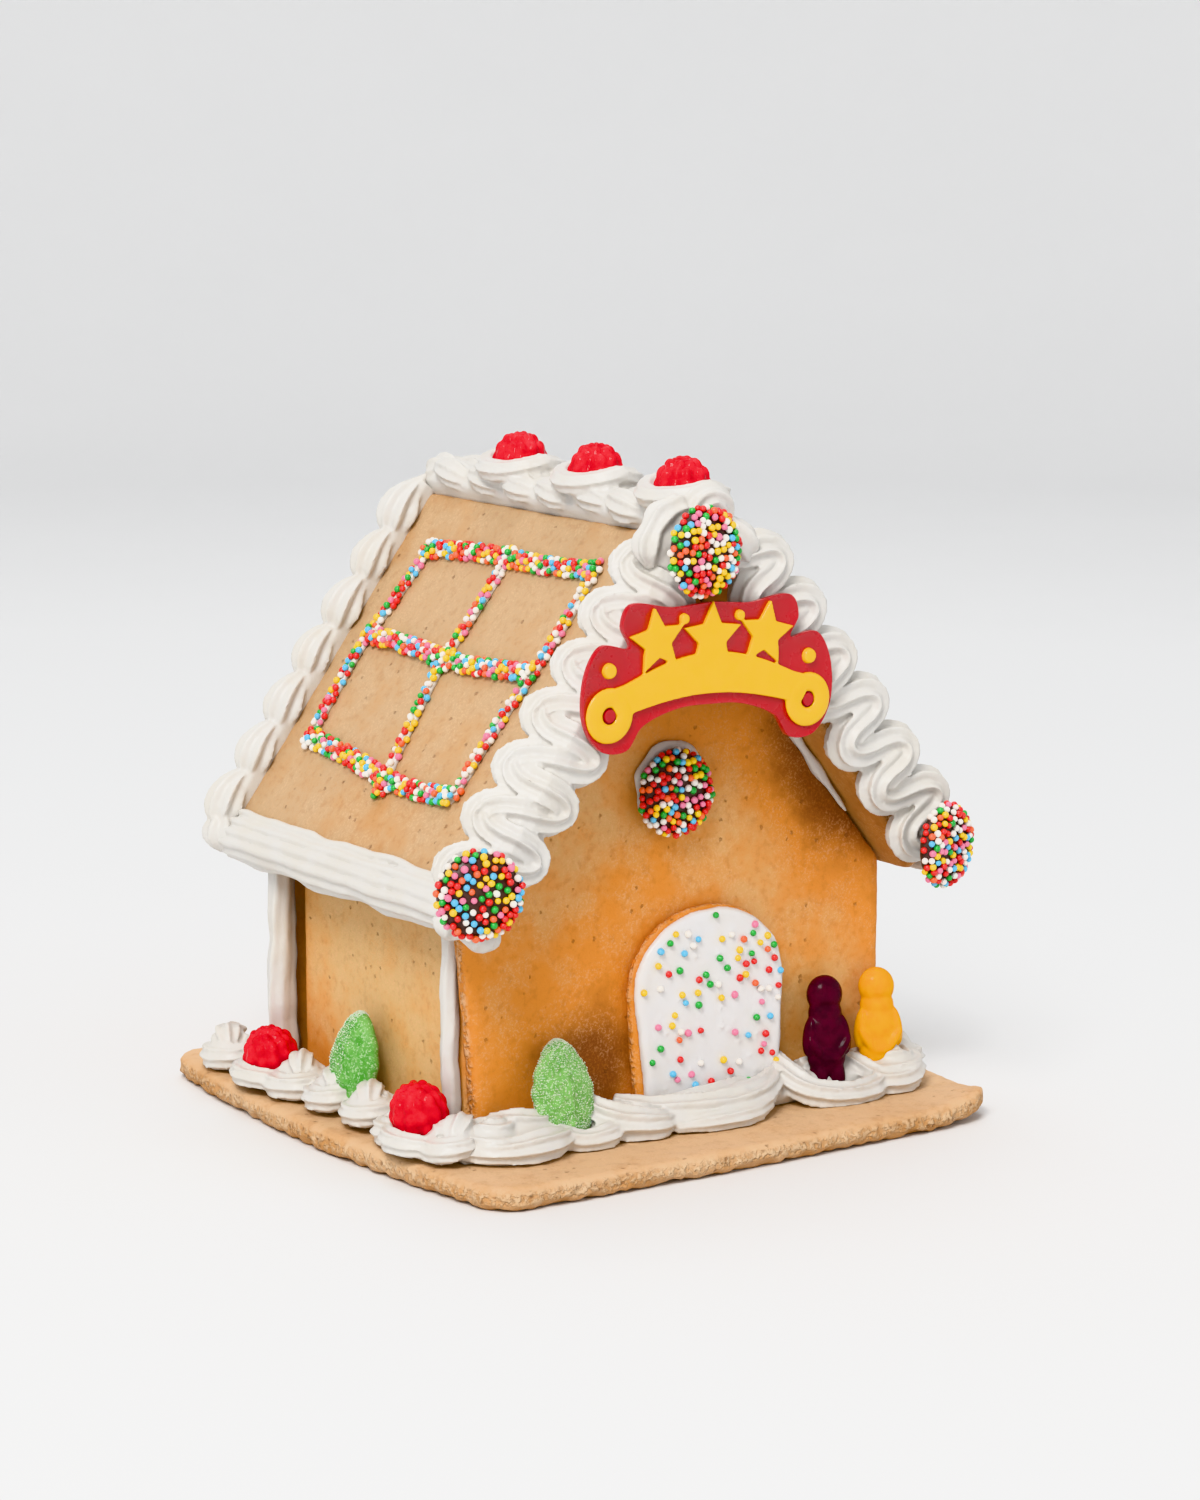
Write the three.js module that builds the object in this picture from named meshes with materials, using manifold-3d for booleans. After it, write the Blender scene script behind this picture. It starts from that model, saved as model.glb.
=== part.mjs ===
// Gingerbread house on a gingerbread board: separate baked panels joined and trimmed with piped icing,
// with sprinkle windows, chocolate sprinkle drops, jelly sweets and a small plastic sign.
// Millimetres, +Z up, the door in the front wall that faces -Y, X to the right of the door.
import * as THREE from 'three';
import { mergeVertices } from 'three/addons/utils/BufferGeometryUtils.js';
import Module from 'manifold-3d';

const GAP = 0.3;                 // clearance between neighbouring pieces
const BOARD_T = 7;               // board thickness
const BOARD_HALF_X = 85;         // half width at the corners, before the sides bulge
const BOARD_HALF_Y = 90.5;       // half depth at the corners
const BOARD_BULGE_X = 0.1;       // how far the left and right sides swell, as a share of the half width
const BOARD_BULGE_Y = 0.03;      // the same for the front and the back
const BOARD_CORNER_R = 9;
const BOARD_CORNER_LIFT = 4.4;   // the front right corner curls off the table
const FLOOR = BOARD_T + GAP;     // height at which the pieces on the board start

const WALL_T = 6;
const FRONT_Y = -52.3;           // outer face of the front wall
const BACK_Y = 54.3;             // outer face of the back wall
const GABLE_HALF_X = 71.6;       // half width of the gable walls at the eaves
const GABLE_FOOT_LEFT = 66.5;    // the front wall narrows towards its left foot
const SIDE_X = 67.6;             // outer face of the side walls
const SIDE_FRONT_Y = -45.9;      // side walls run between the gable walls
const SIDE_BACK_Y = 40.5;

const RIDGE_X = -5;              // the ridge stands slightly to the left
const RIDGE_Z = 180;
const PITCH = { [-1]: 53.6, [1]: 51.8 };        // slope of each roof panel, degrees
const PANEL_LENGTH = { [-1]: 129, [1]: 137 };   // from the ridge line down the slope
const PANEL_T = 6.3;
const PANEL_TOP = 8.6;           // the square-cut top edges start this far down from the ridge line
const PANEL_FRONT_Y = -66.4;
const PANEL_BACK_Y = 63.5;
const PANEL_CORNER_R = 8;

const DOOR_X = 6.7;
const DOOR_HALF_W = 26.4;
const DOOR_TOP = 67;
const DOOR_T = 4.4;
const DOOR_ICING_T = 1.7;

const ROPE_Y = -72.4;            // middle of the piped rope on the gable edges
const ROPE_HALF_DEPTH = 5.6;
const FRECKLE_H = 6.4;
const SPRINKLE_COAT = 0.9;

const BASE_TOP = 19;             // crest of the piped icing round the foot of the walls
const BASE_W = 22;               // reach of that icing over the board

const COLOURS = {
  gingerbread: '#c98f57',
  wall: '#c07c3d',
  icing: '#f4f1ea',
  door_icing: '#fbfaf6',
  sprinkles: '#d8674f',
  chocolate_sprinkles: '#b3574a',
  red_jelly: '#d4152b',
  green_jelly: '#58a557',
  purple_jelly: '#4b1233',
  yellow_jelly: '#f4ab11',
  red_plastic: '#c11522',
  yellow_plastic: '#ffc814',
};

const rad = THREE.MathUtils.degToRad;
const V2 = (x, y) => new THREE.Vector2(x, y);
const V3 = (x, y, z) => new THREE.Vector3(x, y, z);
const wasm = await Module();
wasm.setup();

// ---------------------------------------------------------------- solids from rings

function volumeOf(points, triangles) {
  let sum = 0;
  for (const [a, b, c] of triangles) {
    sum += points[a].dot(points[b].clone().cross(points[c]));
  }
  return sum / 6;
}

function geometryFrom(points, triangles) {
  const outward = volumeOf(points, triangles) > 0;
  const geometry = new THREE.BufferGeometry();
  geometry.setFromPoints(points);
  geometry.setIndex(triangles.flatMap(([a, b, c]) => (outward ? [a, b, c] : [a, c, b])));
  return geometry;
}

// A closed skin over rings of equal length. Each end is a point or, by default, the flat ring itself.
function skin(rings, start = null, end = null, flat = null) {
  const count = rings[0].length;
  const points = rings.flat();
  const triangles = [];
  for (let i = 0; i + 1 < rings.length; i += 1) {
    for (let j = 0; j < count; j += 1) {
      const k = (j + 1) % count;
      const a = i * count + j;
      const b = i * count + k;
      triangles.push([a, b, b + count], [a, b + count, a + count]);
    }
  }
  const close = (ring, point, reverse) => {
    const base = ring * count;
    let faces = [];
    if (point) {
      points.push(point);
      faces = rings[ring].map((_, j) => [points.length - 1, base + j, base + ((j + 1) % count)]);
    } else {
      faces = THREE.ShapeUtils.triangulateShape(flat, []).map((f) => f.map((j) => base + j));
      if (!THREE.ShapeUtils.isClockWise(flat) === false) {
        faces = faces.map(([a, b, c]) => [a, c, b]);
      }
    }
    triangles.push(...faces.map(([a, b, c]) => (reverse ? [a, c, b] : [a, b, c])));
  };
  close(0, start, true);
  close(rings.length - 1, end, false);
  return geometryFrom(points, triangles);
}

function middle(ring) {
  const sum = V3(0, 0, 0);
  ring.forEach((p) => sum.add(p));
  return sum.divideScalar(ring.length);
}

// A section carried along a set of stations, closed by fans at both ends.
function tube(rings) {
  return skin(rings, middle(rings[0]), middle(rings[rings.length - 1]));
}

function loftRings(rings, section) {
  return skin(rings, null, null, section);
}

function loft(stations, sectionAt, place) {
  const first = sectionAt(stations[0]);
  const rings = stations.map((s) => sectionAt(s).map((p) => place(s, p)));
  return skin(rings, null, null, first);
}

function steps(from, to, count) {
  return Array.from({ length: count + 1 }, (_, i) => from + ((to - from) * i) / count);
}

function slab(shape, depth, bevel, curveSegments = 6, bevelSegments = 1) {
  const geometry = new THREE.ExtrudeGeometry(shape, {
    depth: depth - 2 * bevel,
    bevelEnabled: bevel > 0,
    bevelThickness: bevel,
    bevelSize: bevel,
    bevelOffset: -bevel,
    bevelSegments,
    curveSegments,
  });
  geometry.translate(0, 0, bevel);
  return geometry;
}

function roundedShape(x0, y0, x1, y1, radii) {
  const [a, b, c, d] = radii;
  const shape = new THREE.Shape();
  shape.moveTo(x0 + a, y0);
  shape.lineTo(x1 - b, y0);
  shape.quadraticCurveTo(x1, y0, x1, y0 + b);
  shape.lineTo(x1, y1 - c);
  shape.quadraticCurveTo(x1, y1, x1 - c, y1);
  shape.lineTo(x0 + d, y1);
  shape.quadraticCurveTo(x0, y1, x0, y1 - d);
  shape.lineTo(x0, y0 + a);
  shape.quadraticCurveTo(x0, y0, x0 + a, y0);
  return shape;
}

// ---------------------------------------------------------------- booleans

function toManifold(geometry) {
  const plain = new THREE.BufferGeometry();
  plain.setAttribute('position', geometry.getAttribute('position').clone());
  if (geometry.index) {
    plain.setIndex(geometry.index.clone());
  }
  const merged = mergeVertices(plain, 1e-4);
  const faces = [];
  for (let i = 0; i < merged.index.count; i += 3) {
    const [a, b, c] = [merged.index.getX(i), merged.index.getX(i + 1), merged.index.getX(i + 2)];
    if (a !== b && b !== c && a !== c) {
      faces.push(a, b, c);
    }
  }
  const mesh = new wasm.Mesh({
    numProp: 3,
    vertProperties: new Float32Array(merged.getAttribute('position').array),
    triVerts: new Uint32Array(faces),
  });
  return new wasm.Manifold(mesh);
}

function fromManifold(solid) {
  const mesh = solid.getMesh();
  const geometry = new THREE.BufferGeometry();
  geometry.setAttribute('position', new THREE.BufferAttribute(Float32Array.from(mesh.vertProperties), 3));
  geometry.setIndex(Array.from(mesh.triVerts));
  return geometry;
}

function carve(geometry, tools) {
  let solid = toManifold(geometry);
  for (const tool of tools) {
    solid = solid.subtract(toManifold(tool));
  }
  return fromManifold(solid);
}

function fuse(geometries) {
  let solid = toManifold(geometries[0]);
  for (const geometry of geometries.slice(1)) {
    solid = solid.add(toManifold(geometry));
  }
  return fromManifold(solid);
}

function moved(geometry, x, y, z, rx = 0, ry = 0, rz = 0) {
  const placed = geometry.clone();
  const turn = new THREE.Euler(rx, ry, rz);
  placed.applyMatrix4(new THREE.Matrix4().makeRotationFromEuler(turn));
  placed.translate(x, y, z);
  return placed;
}

function ball(rx, ry, rz, across = 8, up = 5) {
  const rings = [];
  for (let i = 1; i < up; i += 1) {
    const polar = (Math.PI * i) / up;
    rings.push(steps(0, 2 * Math.PI, across).slice(0, across).map((a) => V3(
      rx * Math.sin(polar) * Math.cos(a),
      ry * Math.sin(polar) * Math.sin(a),
      -rz * Math.cos(polar),
    )));
  }
  return skin(rings, V3(0, 0, -rz), V3(0, 0, rz));
}

// ---------------------------------------------------------------- board

function boardRing(inset, z) {
  const hx = BOARD_HALF_X - inset;
  const hy = BOARD_HALF_Y - inset;
  const r = BOARD_CORNER_R;
  const corners = [[1, -1, -90], [1, 1, 0], [-1, 1, 90], [-1, -1, 180]];
  const ring = [];
  for (const [sx, sy, from] of corners) {
    for (const a of steps(from, from + 90, 3)) {
      ring.push([sx * (hx - r) + r * Math.cos(rad(a)), sy * (hy - r) + r * Math.sin(rad(a))]);
    }
    const last = ring[ring.length - 1];
    const next = sx === sy ? [-sx * (hx - r), last[1]] : [last[0], -sy * (hy - r)];
    for (const t of [0.05, 0.13, 0.3, 0.5, 0.7, 0.87, 0.95]) {
      ring.push([last[0] + (next[0] - last[0]) * t, last[1] + (next[1] - last[1]) * t]);
    }
  }
  return ring.map(([x, y]) => {
    const px = x * (1 + BOARD_BULGE_X * (1 - (y / BOARD_HALF_Y) ** 2));
    const py = y * (1 + BOARD_BULGE_Y * (1 - (x / BOARD_HALF_X) ** 2));
    return V3(px, py, z + cornerLift(px, py));
  });
}

function cornerLift(x, y) {
  const away = Math.hypot(x - BOARD_HALF_X, y + BOARD_HALF_Y);
  const near = Math.max(0, 1 - away / 24);
  return BOARD_CORNER_LIFT * near * near;
}

function boardGeometry() {
  const rings = [
    boardRing(26, 0),
    boardRing(12, 0),
    boardRing(1.6, 0),
    boardRing(0, 1.6),
    boardRing(0.2, BOARD_T - 2.2),
    boardRing(2.4, BOARD_T),
    boardRing(12, BOARD_T),
    boardRing(26, BOARD_T),
  ];
  return skin(rings, V3(0, 0, 0), V3(0, 0, BOARD_T));
}

// ---------------------------------------------------------------- walls and roof

// Height of the underside of a roof panel above a given X, less the joint gap.
function underRoof(x) {
  const side = x < RIDGE_X ? -1 : 1;
  const pitch = rad(PITCH[side]);
  return RIDGE_Z - Math.abs(x - RIDGE_X) * Math.tan(pitch) - (PANEL_T + GAP) / Math.cos(pitch);
}

function gableShape(footLeft) {
  const shape = new THREE.Shape();
  shape.moveTo(-footLeft, FLOOR);
  shape.lineTo(GABLE_HALF_X, FLOOR);
  shape.lineTo(GABLE_HALF_X, underRoof(GABLE_HALF_X));
  shape.lineTo(RIDGE_X, underRoof(RIDGE_X) - 0.8);
  shape.lineTo(-GABLE_HALF_X, underRoof(-GABLE_HALF_X));
  shape.lineTo(-GABLE_HALF_X, FLOOR + 56);
  return shape;
}

// Panels are drawn flat in X and Z, so their thickness runs back along +Y from the outer face.
function upright(geometry) {
  geometry.rotateX(Math.PI / 2);
  geometry.translate(0, WALL_T, 0);
  return geometry;
}

function sideWallGeometry(side) {
  const top = underRoof(side * SIDE_X);
  const shape = roundedShape(SIDE_FRONT_Y, FLOOR, SIDE_BACK_Y, top, [1, 1, 1, 1]);
  const geometry = slab(shape, WALL_T, 0.6, 2);
  geometry.rotateX(Math.PI / 2);
  geometry.rotateZ(Math.PI / 2);
  geometry.translate(side > 0 ? -WALL_T : 0, 0, 0);
  return geometry;
}

function panelGeometry(side) {
  const r = PANEL_CORNER_R;
  const length = PANEL_LENGTH[side];
  const shape = side > 0
    ? roundedShape(PANEL_TOP, PANEL_FRONT_Y, length, PANEL_BACK_Y, [2, r, r, 2])
    : roundedShape(-length, PANEL_FRONT_Y, -PANEL_TOP, PANEL_BACK_Y, [r, 2, 2, r]);
  const geometry = slab(shape, PANEL_T, 1.1, 4);
  geometry.translate(0, 0, -PANEL_T);
  return geometry;
}

// ---------------------------------------------------------------- window lattices

const WINDOW_NODES = {
  top: [[27.9, 42.5], [25.4, 2.1], [24.2, -40.4]],
  mid: [[57.8, 47.3], [59.9, 4.6], [57.4, -39.1]],
  low: [[92.8, 46.1], [98.5, -0.8], [98, -35.7]],
};

function barGeometry(from, to, width, height) {
  const start = V2(...from);
  const end = V2(...to);
  const along = end.clone().sub(start).normalize();
  const across = V2(-along.y, along.x);
  const section = [[-0.5, 0], [-0.3, 1], [0.3, 1], [0.5, 0]];
  const rings = [[start, -0.4], [end, 0.4]].map(([at, shift]) => (
    section.map(([a, h]) => {
      const p = at.clone().addScaledVector(along, shift * width).addScaledVector(across, a * width);
      return V3(p.x, p.y, h * height);
    })));
  return loftRings(rings, section.map(([a, h]) => V2(a, h)));
}

function windowGeometry(side) {
  const bars = [];
  for (const row of Object.values(WINDOW_NODES)) {
    bars.push(barGeometry(row[0], row[1], 5.4, 3));
    bars.push(barGeometry(row[1], row[2], 5.4, 3));
  }
  for (const column of [0, 1, 2]) {
    const [a, b, c] = ['top', 'mid', 'low'].map((row) => WINDOW_NODES[row][column]);
    const tail = column === 1 ? [c[0] + 4.5, c[1] - 1] : c;
    bars.push(barGeometry(a, b, 4.3, 2.7));
    bars.push(barGeometry(b, tail, 4.3, 2.7));
  }
  const geometry = fuse(bars);
  geometry.translate(0, 0, GAP);
  return side > 0 ? mirrored(geometry, 1, 1) : mirrored(geometry, -1, 1);
}

function mirrored(geometry, sx, sy) {
  const flipped = geometry.clone();
  flipped.scale(sx, sy, 1);
  if (sx * sy < 0) {
    const index = Array.from(flipped.index.array);
    for (let i = 0; i < index.length; i += 3) {
      [index[i + 1], index[i + 2]] = [index[i + 2], index[i + 1]];
    }
    flipped.setIndex(index);
  }
  return flipped;
}

// ---------------------------------------------------------------- piped icing

// Zigzag rope: straight strands across the band joined by half-circle turns.
function zigzagPath(side, period, centre, reach, firstU, strands) {
  const turn = period / 4;
  const pitch = rad(PITCH[side]);
  const floorV = (u) => (5.4 - u * Math.cos(pitch)) / Math.sin(pitch);
  const path = [];
  let up = true;
  for (let k = 0; k < strands; k += 1) {
    const u = firstU + (k * period) / 2;
    const low = Math.max(centre - reach, floorV(u));
    const high = centre + reach;
    path.push(V2(u, up ? low : high), V2(u, up ? high : low));
    if (k + 1 < strands) {
      const vEnd = up ? high : Math.max(centre - reach, floorV(u + period / 2));
      path[path.length - 1].y = vEnd;
      for (const a of [45, 90, 135]) {
        const c = -Math.cos(rad(a)) * turn;
        const s = Math.sin(rad(a)) * turn;
        path.push(V2(u + turn + c, vEnd + (up ? s : -s)));
      }
    }
    up = !up;
  }
  return path;
}

function ropeGeometry(path, radius, halfDepth, side) {
  const rings = path.map((p, i) => {
    const before = path[Math.max(0, i - 1)];
    const after = path[Math.min(path.length - 1, i + 1)];
    const tangent = after.clone().sub(before).normalize();
    const normal = V2(-tangent.y, tangent.x);
    const tip = i === 0 || i === path.length - 1 ? 0.55 : 1;
    return steps(0, 360, 6).slice(0, 6).map((a) => {
      const out = Math.cos(rad(a + 30)) * radius * tip;
      const q = p.clone().addScaledVector(normal, out);
      return V3(side * q.x, Math.sin(rad(a + 30)) * halfDepth * tip, q.y);
    });
  });
  return tube(rings);
}

function gableIcingGeometry(side) {
  const path = side < 0
    ? zigzagPath(-1, 15.9, 2.6, 6.7, 15.5, 15)
    : zigzagPath(1, 18.2, 1.4, 3.4, 15, 14);
  return ropeGeometry(path, side < 0 ? 3.75 : 4.1, ROPE_HALF_DEPTH, side);
}

// Shell border: each shell swells and then tapers into the next one.
function swell(t) {
  const s = t - Math.floor(t);
  return 0.62 + 0.38 * Math.sin(Math.PI * Math.min(1, s * 1.15 + 0.12));
}

// The border on the back edge of a panel grips its upper corner.
function vergeIcingGeometry(side, length) {
  const start = 20;
  const section = (u) => {
    const k = swell((u - start) / 15);
    const outline = [[-0.3, -4.4], [3.4, -5.2], [7.4, -2.6], [8, 2.4], [4.6, 6.8], [-1.4, 7.4], [-5.4, 4.4]];
    const round = outline.map(([y, v]) => V2(GAP + y * k, GAP + v * k));
    round[0] = V2(GAP, GAP - 4.4 * k);
    return [...round, V2(-5.8 * k, GAP), V2(GAP, GAP)];
  };
  return loft(steps(start, length, 24), section, (u, p) => V3(side * u, p.x, p.y));
}

function eaveIcingGeometry(side) {
  const length = PANEL_LENGTH[side];
  const ridges = 4;
  const profile = [V2(length - 11, GAP)];
  for (let i = 0; i < ridges; i += 1) {
    const u = length - 10.5 + i * 3.5;
    profile.push(V2(u, 2.7 - i * 0.1), V2(u + 1.7, 4.3 - i * 0.35));
  }
  profile.push(V2(length + 4.4, 0.8), V2(length + 4.2, -4.6), V2(length + 1.6, -PANEL_T));
  profile.push(V2(length + GAP, -PANEL_T + 0.6), V2(length + GAP, GAP));
  const ends = [PANEL_FRONT_Y + 5.2, 0, PANEL_BACK_Y - 6.2];
  return loft(ends, () => profile, (y, p) => V3(side * p.x, y, p.y));
}

// The ridge filling sits over the square-cut top edges of both panels.
function ridgeSection(y) {
  const k = 0.55 + 0.45 * Math.abs(Math.sin((Math.PI * (y - 8)) / 19.5));
  const foot = (side, u, v) => {
    const pitch = rad(PITCH[side]);
    return V2(
      side * (u * Math.cos(pitch) + v * Math.sin(pitch)),
      -u * Math.sin(pitch) + v * Math.cos(pitch),
    );
  };
  const wide = 2.5 * k;
  return [
    foot(-1, PANEL_TOP + 4 + wide, GAP),
    foot(-1, PANEL_TOP + 3.4 + wide, 3.2 * k + 1),
    foot(-1, PANEL_TOP - 1, 4 + 2 * k),
    V2(-3, 1.6 + 4.4 * k),
    V2(3, 1.6 + 4.4 * k),
    foot(1, PANEL_TOP - 1, 4 + 2 * k),
    foot(1, PANEL_TOP + 3.4 + wide, 3.2 * k + 1),
    foot(1, PANEL_TOP + 4 + wide, GAP),
    foot(1, PANEL_TOP - 0.4, GAP),
    foot(-1, PANEL_TOP - 0.4, GAP),
  ];
}

function ridgeIcingGeometry(tools) {
  const stations = steps(PANEL_FRONT_Y - 0.4, PANEL_BACK_Y + 2.4, 30);
  return carve(loft(stations, ridgeSection, (y, p) => V3(p.x, y, p.y)), tools);
}

// Swirls of icing along the foot of a wall: `from` to `to` along it, `reach` out over the board.
function footSection(t, reach, top) {
  const k = swell(t);
  const low = FLOOR;
  const high = low + (top - low) * (0.72 + 0.28 * k);
  return [
    V2(0, low),
    V2(reach * (0.8 + 0.2 * k), low),
    V2(reach * (0.84 + 0.2 * k), low + 3.6),
    V2(reach * (0.68 + 0.14 * k), low + (high - low) * 0.8),
    V2(reach * 0.42, high),
    V2(reach * 0.16, low + (high - low) * 0.86),
    V2(0, low + (high - low) * 0.72),
  ];
}

function footIcing(from, to, shells, reach, top, place) {
  const count = shells * 3;
  const stations = steps(from, to, count);
  const section = (s) => {
    const t = ((s - from) / (to - from)) * shells;
    const end = Math.min(1, 0.72 + 0.9 * Math.min(t, shells - t));
    return footSection(t, reach * end, FLOOR + (top - FLOOR) * end);
  };
  return loft(stations, section, place);
}

function columnGeometry(rx, ry, from, to) {
  const heights = steps(from, to, 5);
  const rings = heights.map((z, i) => {
    const k = i === 0 || i === 5 ? 0.85 : 1 + 0.06 * (i % 2 === 0 ? 1 : -1);
    const turns = steps(0, 360, 8).slice(0, 8).map(rad);
    return turns.map((a) => V3(Math.cos(a) * rx * k, Math.sin(a) * ry * k, z));
  });
  return tube(rings);
}

// ---------------------------------------------------------------- door, drops, sweets, sign

function archPoint(a, half, top, foot, leftFoot = 0.89) {
  const spring = top - half * 0.86;
  if (a >= 0 && a <= 180) {
    return V2(Math.cos(rad(a)) * half, spring + Math.sin(rad(a)) * (top - spring));
  }
  return V2(a < 0 ? half * 0.89 : -half * leftFoot, foot);
}

function archShape(inset, leftFoot) {
  const half = DOOR_HALF_W - inset;
  const top = DOOR_TOP - inset;
  const points = [archPoint(-1, half, top, FLOOR + inset)];
  for (const a of steps(0, 180, 12)) {
    points.push(archPoint(a, half, top, 0));
  }
  points.push(archPoint(181, half, top, FLOOR + inset, leftFoot));
  return new THREE.Shape(points);
}

function doorGeometry(inset, thickness, bevel, leftFoot = 0.89) {
  const geometry = slab(archShape(inset, leftFoot), thickness, bevel);
  geometry.rotateX(Math.PI / 2);
  return geometry;
}

// Chocolate drop coated with sprinkles: flat back, domed front, modelled lying on its back.
function freckleGeometry(radius) {
  const h = FRECKLE_H;
  const profile = [[0.96, 0], [1, h * 0.28], [0.93, h * 0.62], [0.7, h * 0.88], [0.36, h]];
  const rings = profile.map(([k, z]) => (
    steps(0, 360, 16).slice(0, 16).map((a) => V3(
      Math.cos(rad(a)) * radius * k,
      Math.sin(rad(a)) * radius * k,
      z,
    ))));
  return skin(rings, V3(0, 0, 0), V3(0, 0, h + SPRINKLE_COAT * 0.3));
}

// Jelly berry: a dome made of rows of drupelets, each row offset from the one below.
function berryGeometry(radius, height, grow = 0) {
  const rows = [[0.86, 0, 0], [1, 0.22, 1], [0.96, 0.42, -1], [0.86, 0.66, 1], [0.56, 0.88, -1]];
  const rings = rows.map(([k, z, sign]) => (
    steps(0, 360, 14).slice(0, 14).map((a, i) => {
      const r = (radius * k) * (1 + 0.045 * sign * (i % 2 === 0 ? 1 : -1)) + grow;
      return V3(Math.cos(rad(a)) * r, Math.sin(rad(a)) * r, height * z + grow * (z > 0.5 ? 1 : -1));
    })));
  return skin(rings, V3(0, 0, -grow), V3(0, 0, height + grow));
}

function berryTool(radius, height) {
  const rings = [[0.95, -0.4], [1.15, 0.22], [1.13, 0.66], [0.7, 1]].map(([k, z]) => (
    steps(0, 360, 9).slice(0, 9).map((a) => (
      V3(Math.cos(rad(a)) * radius * k, Math.sin(rad(a)) * radius * k, z < 0 ? z : z * height)))));
  return tube(rings);
}

// Jelly leaf: a pointed oval cushion, upright, its tip at the top.
function leafShape(half, height, grow = 0) {
  const points = [];
  for (const t of steps(0, 1, 8)) {
    const w = (half + grow) * Math.sin(Math.PI * Math.min(1, 0.13 + t * 0.87)) ** 0.72;
    points.push(V2(t === 1 ? 0.01 : w, -grow + t * (height + 2 * grow)));
  }
  const left = points.slice(0, 8).reverse().map((p) => V2(-p.x, p.y));
  return new THREE.Shape([...points, ...left]);
}

function leafGeometry(half, height, thickness) {
  const geometry = slab(leafShape(half, height), thickness, thickness * 0.34);
  geometry.rotateX(Math.PI / 2);
  return geometry;
}

function leafTool(half, height, thickness) {
  const geometry = slab(leafShape(half, height, 0.5), thickness + 1, 0);
  geometry.rotateX(Math.PI / 2);
  geometry.translate(0, 0.5, 0);
  return geometry;
}

// Jelly figure: head, trunk, two arms folded on the belly and two short legs.
function figureGeometry(grow = 0) {
  const g = grow;
  const parts = [
    moved(ball(6.1 + g, 4.1 + g, 6.1 + g, 10, 6), 0, 0, 27.6),
    moved(ball(7.3 + g, 4.4 + g, 11.5 + g, 10, 6), 0, 0, 13.4),
    moved(ball(2.9 + g, 2.6 + g, 6.6 + g, 7, 4), -6.2, -1.3, 15.6, 0, 0.35, 0),
    moved(ball(2.9 + g, 2.6 + g, 6.6 + g, 7, 4), 6.2, -1.3, 15.6, 0, -0.35, 0),
    moved(ball(3.4 + g, 3.4 + g, 6.4 + g, 7, 4), -3.6, -0.3, 6.4, 0, 0.1, 0),
    moved(ball(3.4 + g, 3.4 + g, 6.4 + g, 7, 4), 3.6, -0.3, 6.4, 0, -0.1, 0),
  ];
  return fuse(parts);
}

function figureTool() {
  return moved(ball(11.2, 6.6, 20.6, 8, 6), 0, -0.4, 16.5);
}

// Sign plate: a narrow upper tier on a wide lower tier whose foot is arched.
function signShape(grow) {
  const half = [[0, 19.2], [13, 18.4], [26, 20], [29.5, 14], [27, 8], [36, 9], [41, 1], [41.4, -11]];
  const foot = [[36, -19.4], [27.5, -20], [22, -13.5], [11, -9.6], [0, -9]];
  const right = [...half, ...foot].map(([x, z]) => V2(x, z));
  const left = right.slice(1, -1).reverse().map((p) => V2(-p.x, p.y));
  const corners = [...right, ...left].map((p) => V3(p.x, p.y, 0));
  const curve = new THREE.CatmullRomCurve3(corners, true, 'centripetal');
  const points = curve.getPoints(44).slice(0, 44);
  return new THREE.Shape(points.map((p) => V2(p.x * (1 + grow / 41), p.y * (1 + grow / 20))));
}

function starShape(radius, x, z, turn) {
  const points = steps(0, 10, 10).slice(0, 10).map((i) => {
    const r = i % 2 === 0 ? radius : radius * 0.46;
    const a = rad(90 + turn + i * 36);
    return V2(x + r * Math.cos(a), z + r * Math.sin(a));
  });
  return new THREE.Shape(points);
}

function swashShape() {
  const points = [];
  const upper = (x) => -3 + 8.4 * Math.cos((Math.PI * x) / 62);
  for (const x of steps(-33, 33, 14)) {
    points.push(V2(x, upper(x)));
  }
  points.push(V2(36, -8));
  for (const x of steps(25, -25, 10)) {
    points.push(V2(x, upper(x) - 6.8 - 3.2 * Math.cos((Math.PI * x) / 62)));
  }
  points.push(V2(-36, -8));
  return new THREE.Shape(points.reverse());
}

function scrollShape(radius, x, z) {
  return new THREE.Shape(steps(0, 360, 18).slice(0, 18).map((a) => (
    V2(x + radius * Math.cos(rad(a)), z + radius * Math.sin(rad(a))))));
}

function motifGeometry() {
  const stars = [[8.7, -18, 8.7, 8], [9.3, 0, 8.6, 0], [8.7, 18, 8.7, -8]];
  const parts = [slab(swashShape(), 1.2, 0)];
  for (const [r, x, z, turn] of stars) {
    parts.push(slab(starShape(r, x, z, turn), 1.2, 0));
  }
  for (const side of [-1, 1]) {
    parts.push(slab(scrollShape(7.3, side * 33, -9.8), 1.2, 0));
  }
  const geometry = fuse(parts);
  geometry.rotateX(Math.PI / 2);
  return geometry;
}

// ---------------------------------------------------------------- assembly

function material(name, roughness) {
  return new THREE.MeshStandardMaterial({ name, color: COLOURS[name], roughness, metalness: 0 });
}

const MATERIALS = Object.fromEntries(Object.entries({
  gingerbread: 0.85,
  wall: 0.8,
  icing: 0.55,
  door_icing: 0.3,
  sprinkles: 0.45,
  chocolate_sprinkles: 0.45,
  red_jelly: 0.35,
  green_jelly: 0.6,
  purple_jelly: 0.3,
  yellow_jelly: 0.3,
  red_plastic: 0.3,
  yellow_plastic: 0.35,
}).map(([name, roughness]) => [name, material(name, roughness)]));

function piece(parent, name, geometry, slot, at = [0, 0, 0], turn = [0, 0, 0]) {
  const mesh = new THREE.Mesh(geometry, MATERIALS[slot]);
  mesh.name = name;
  mesh.position.set(...at);
  mesh.rotation.set(...turn);
  parent.add(mesh);
  return mesh;
}

const house = new THREE.Group();
house.name = 'gingerbread_house';

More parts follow.
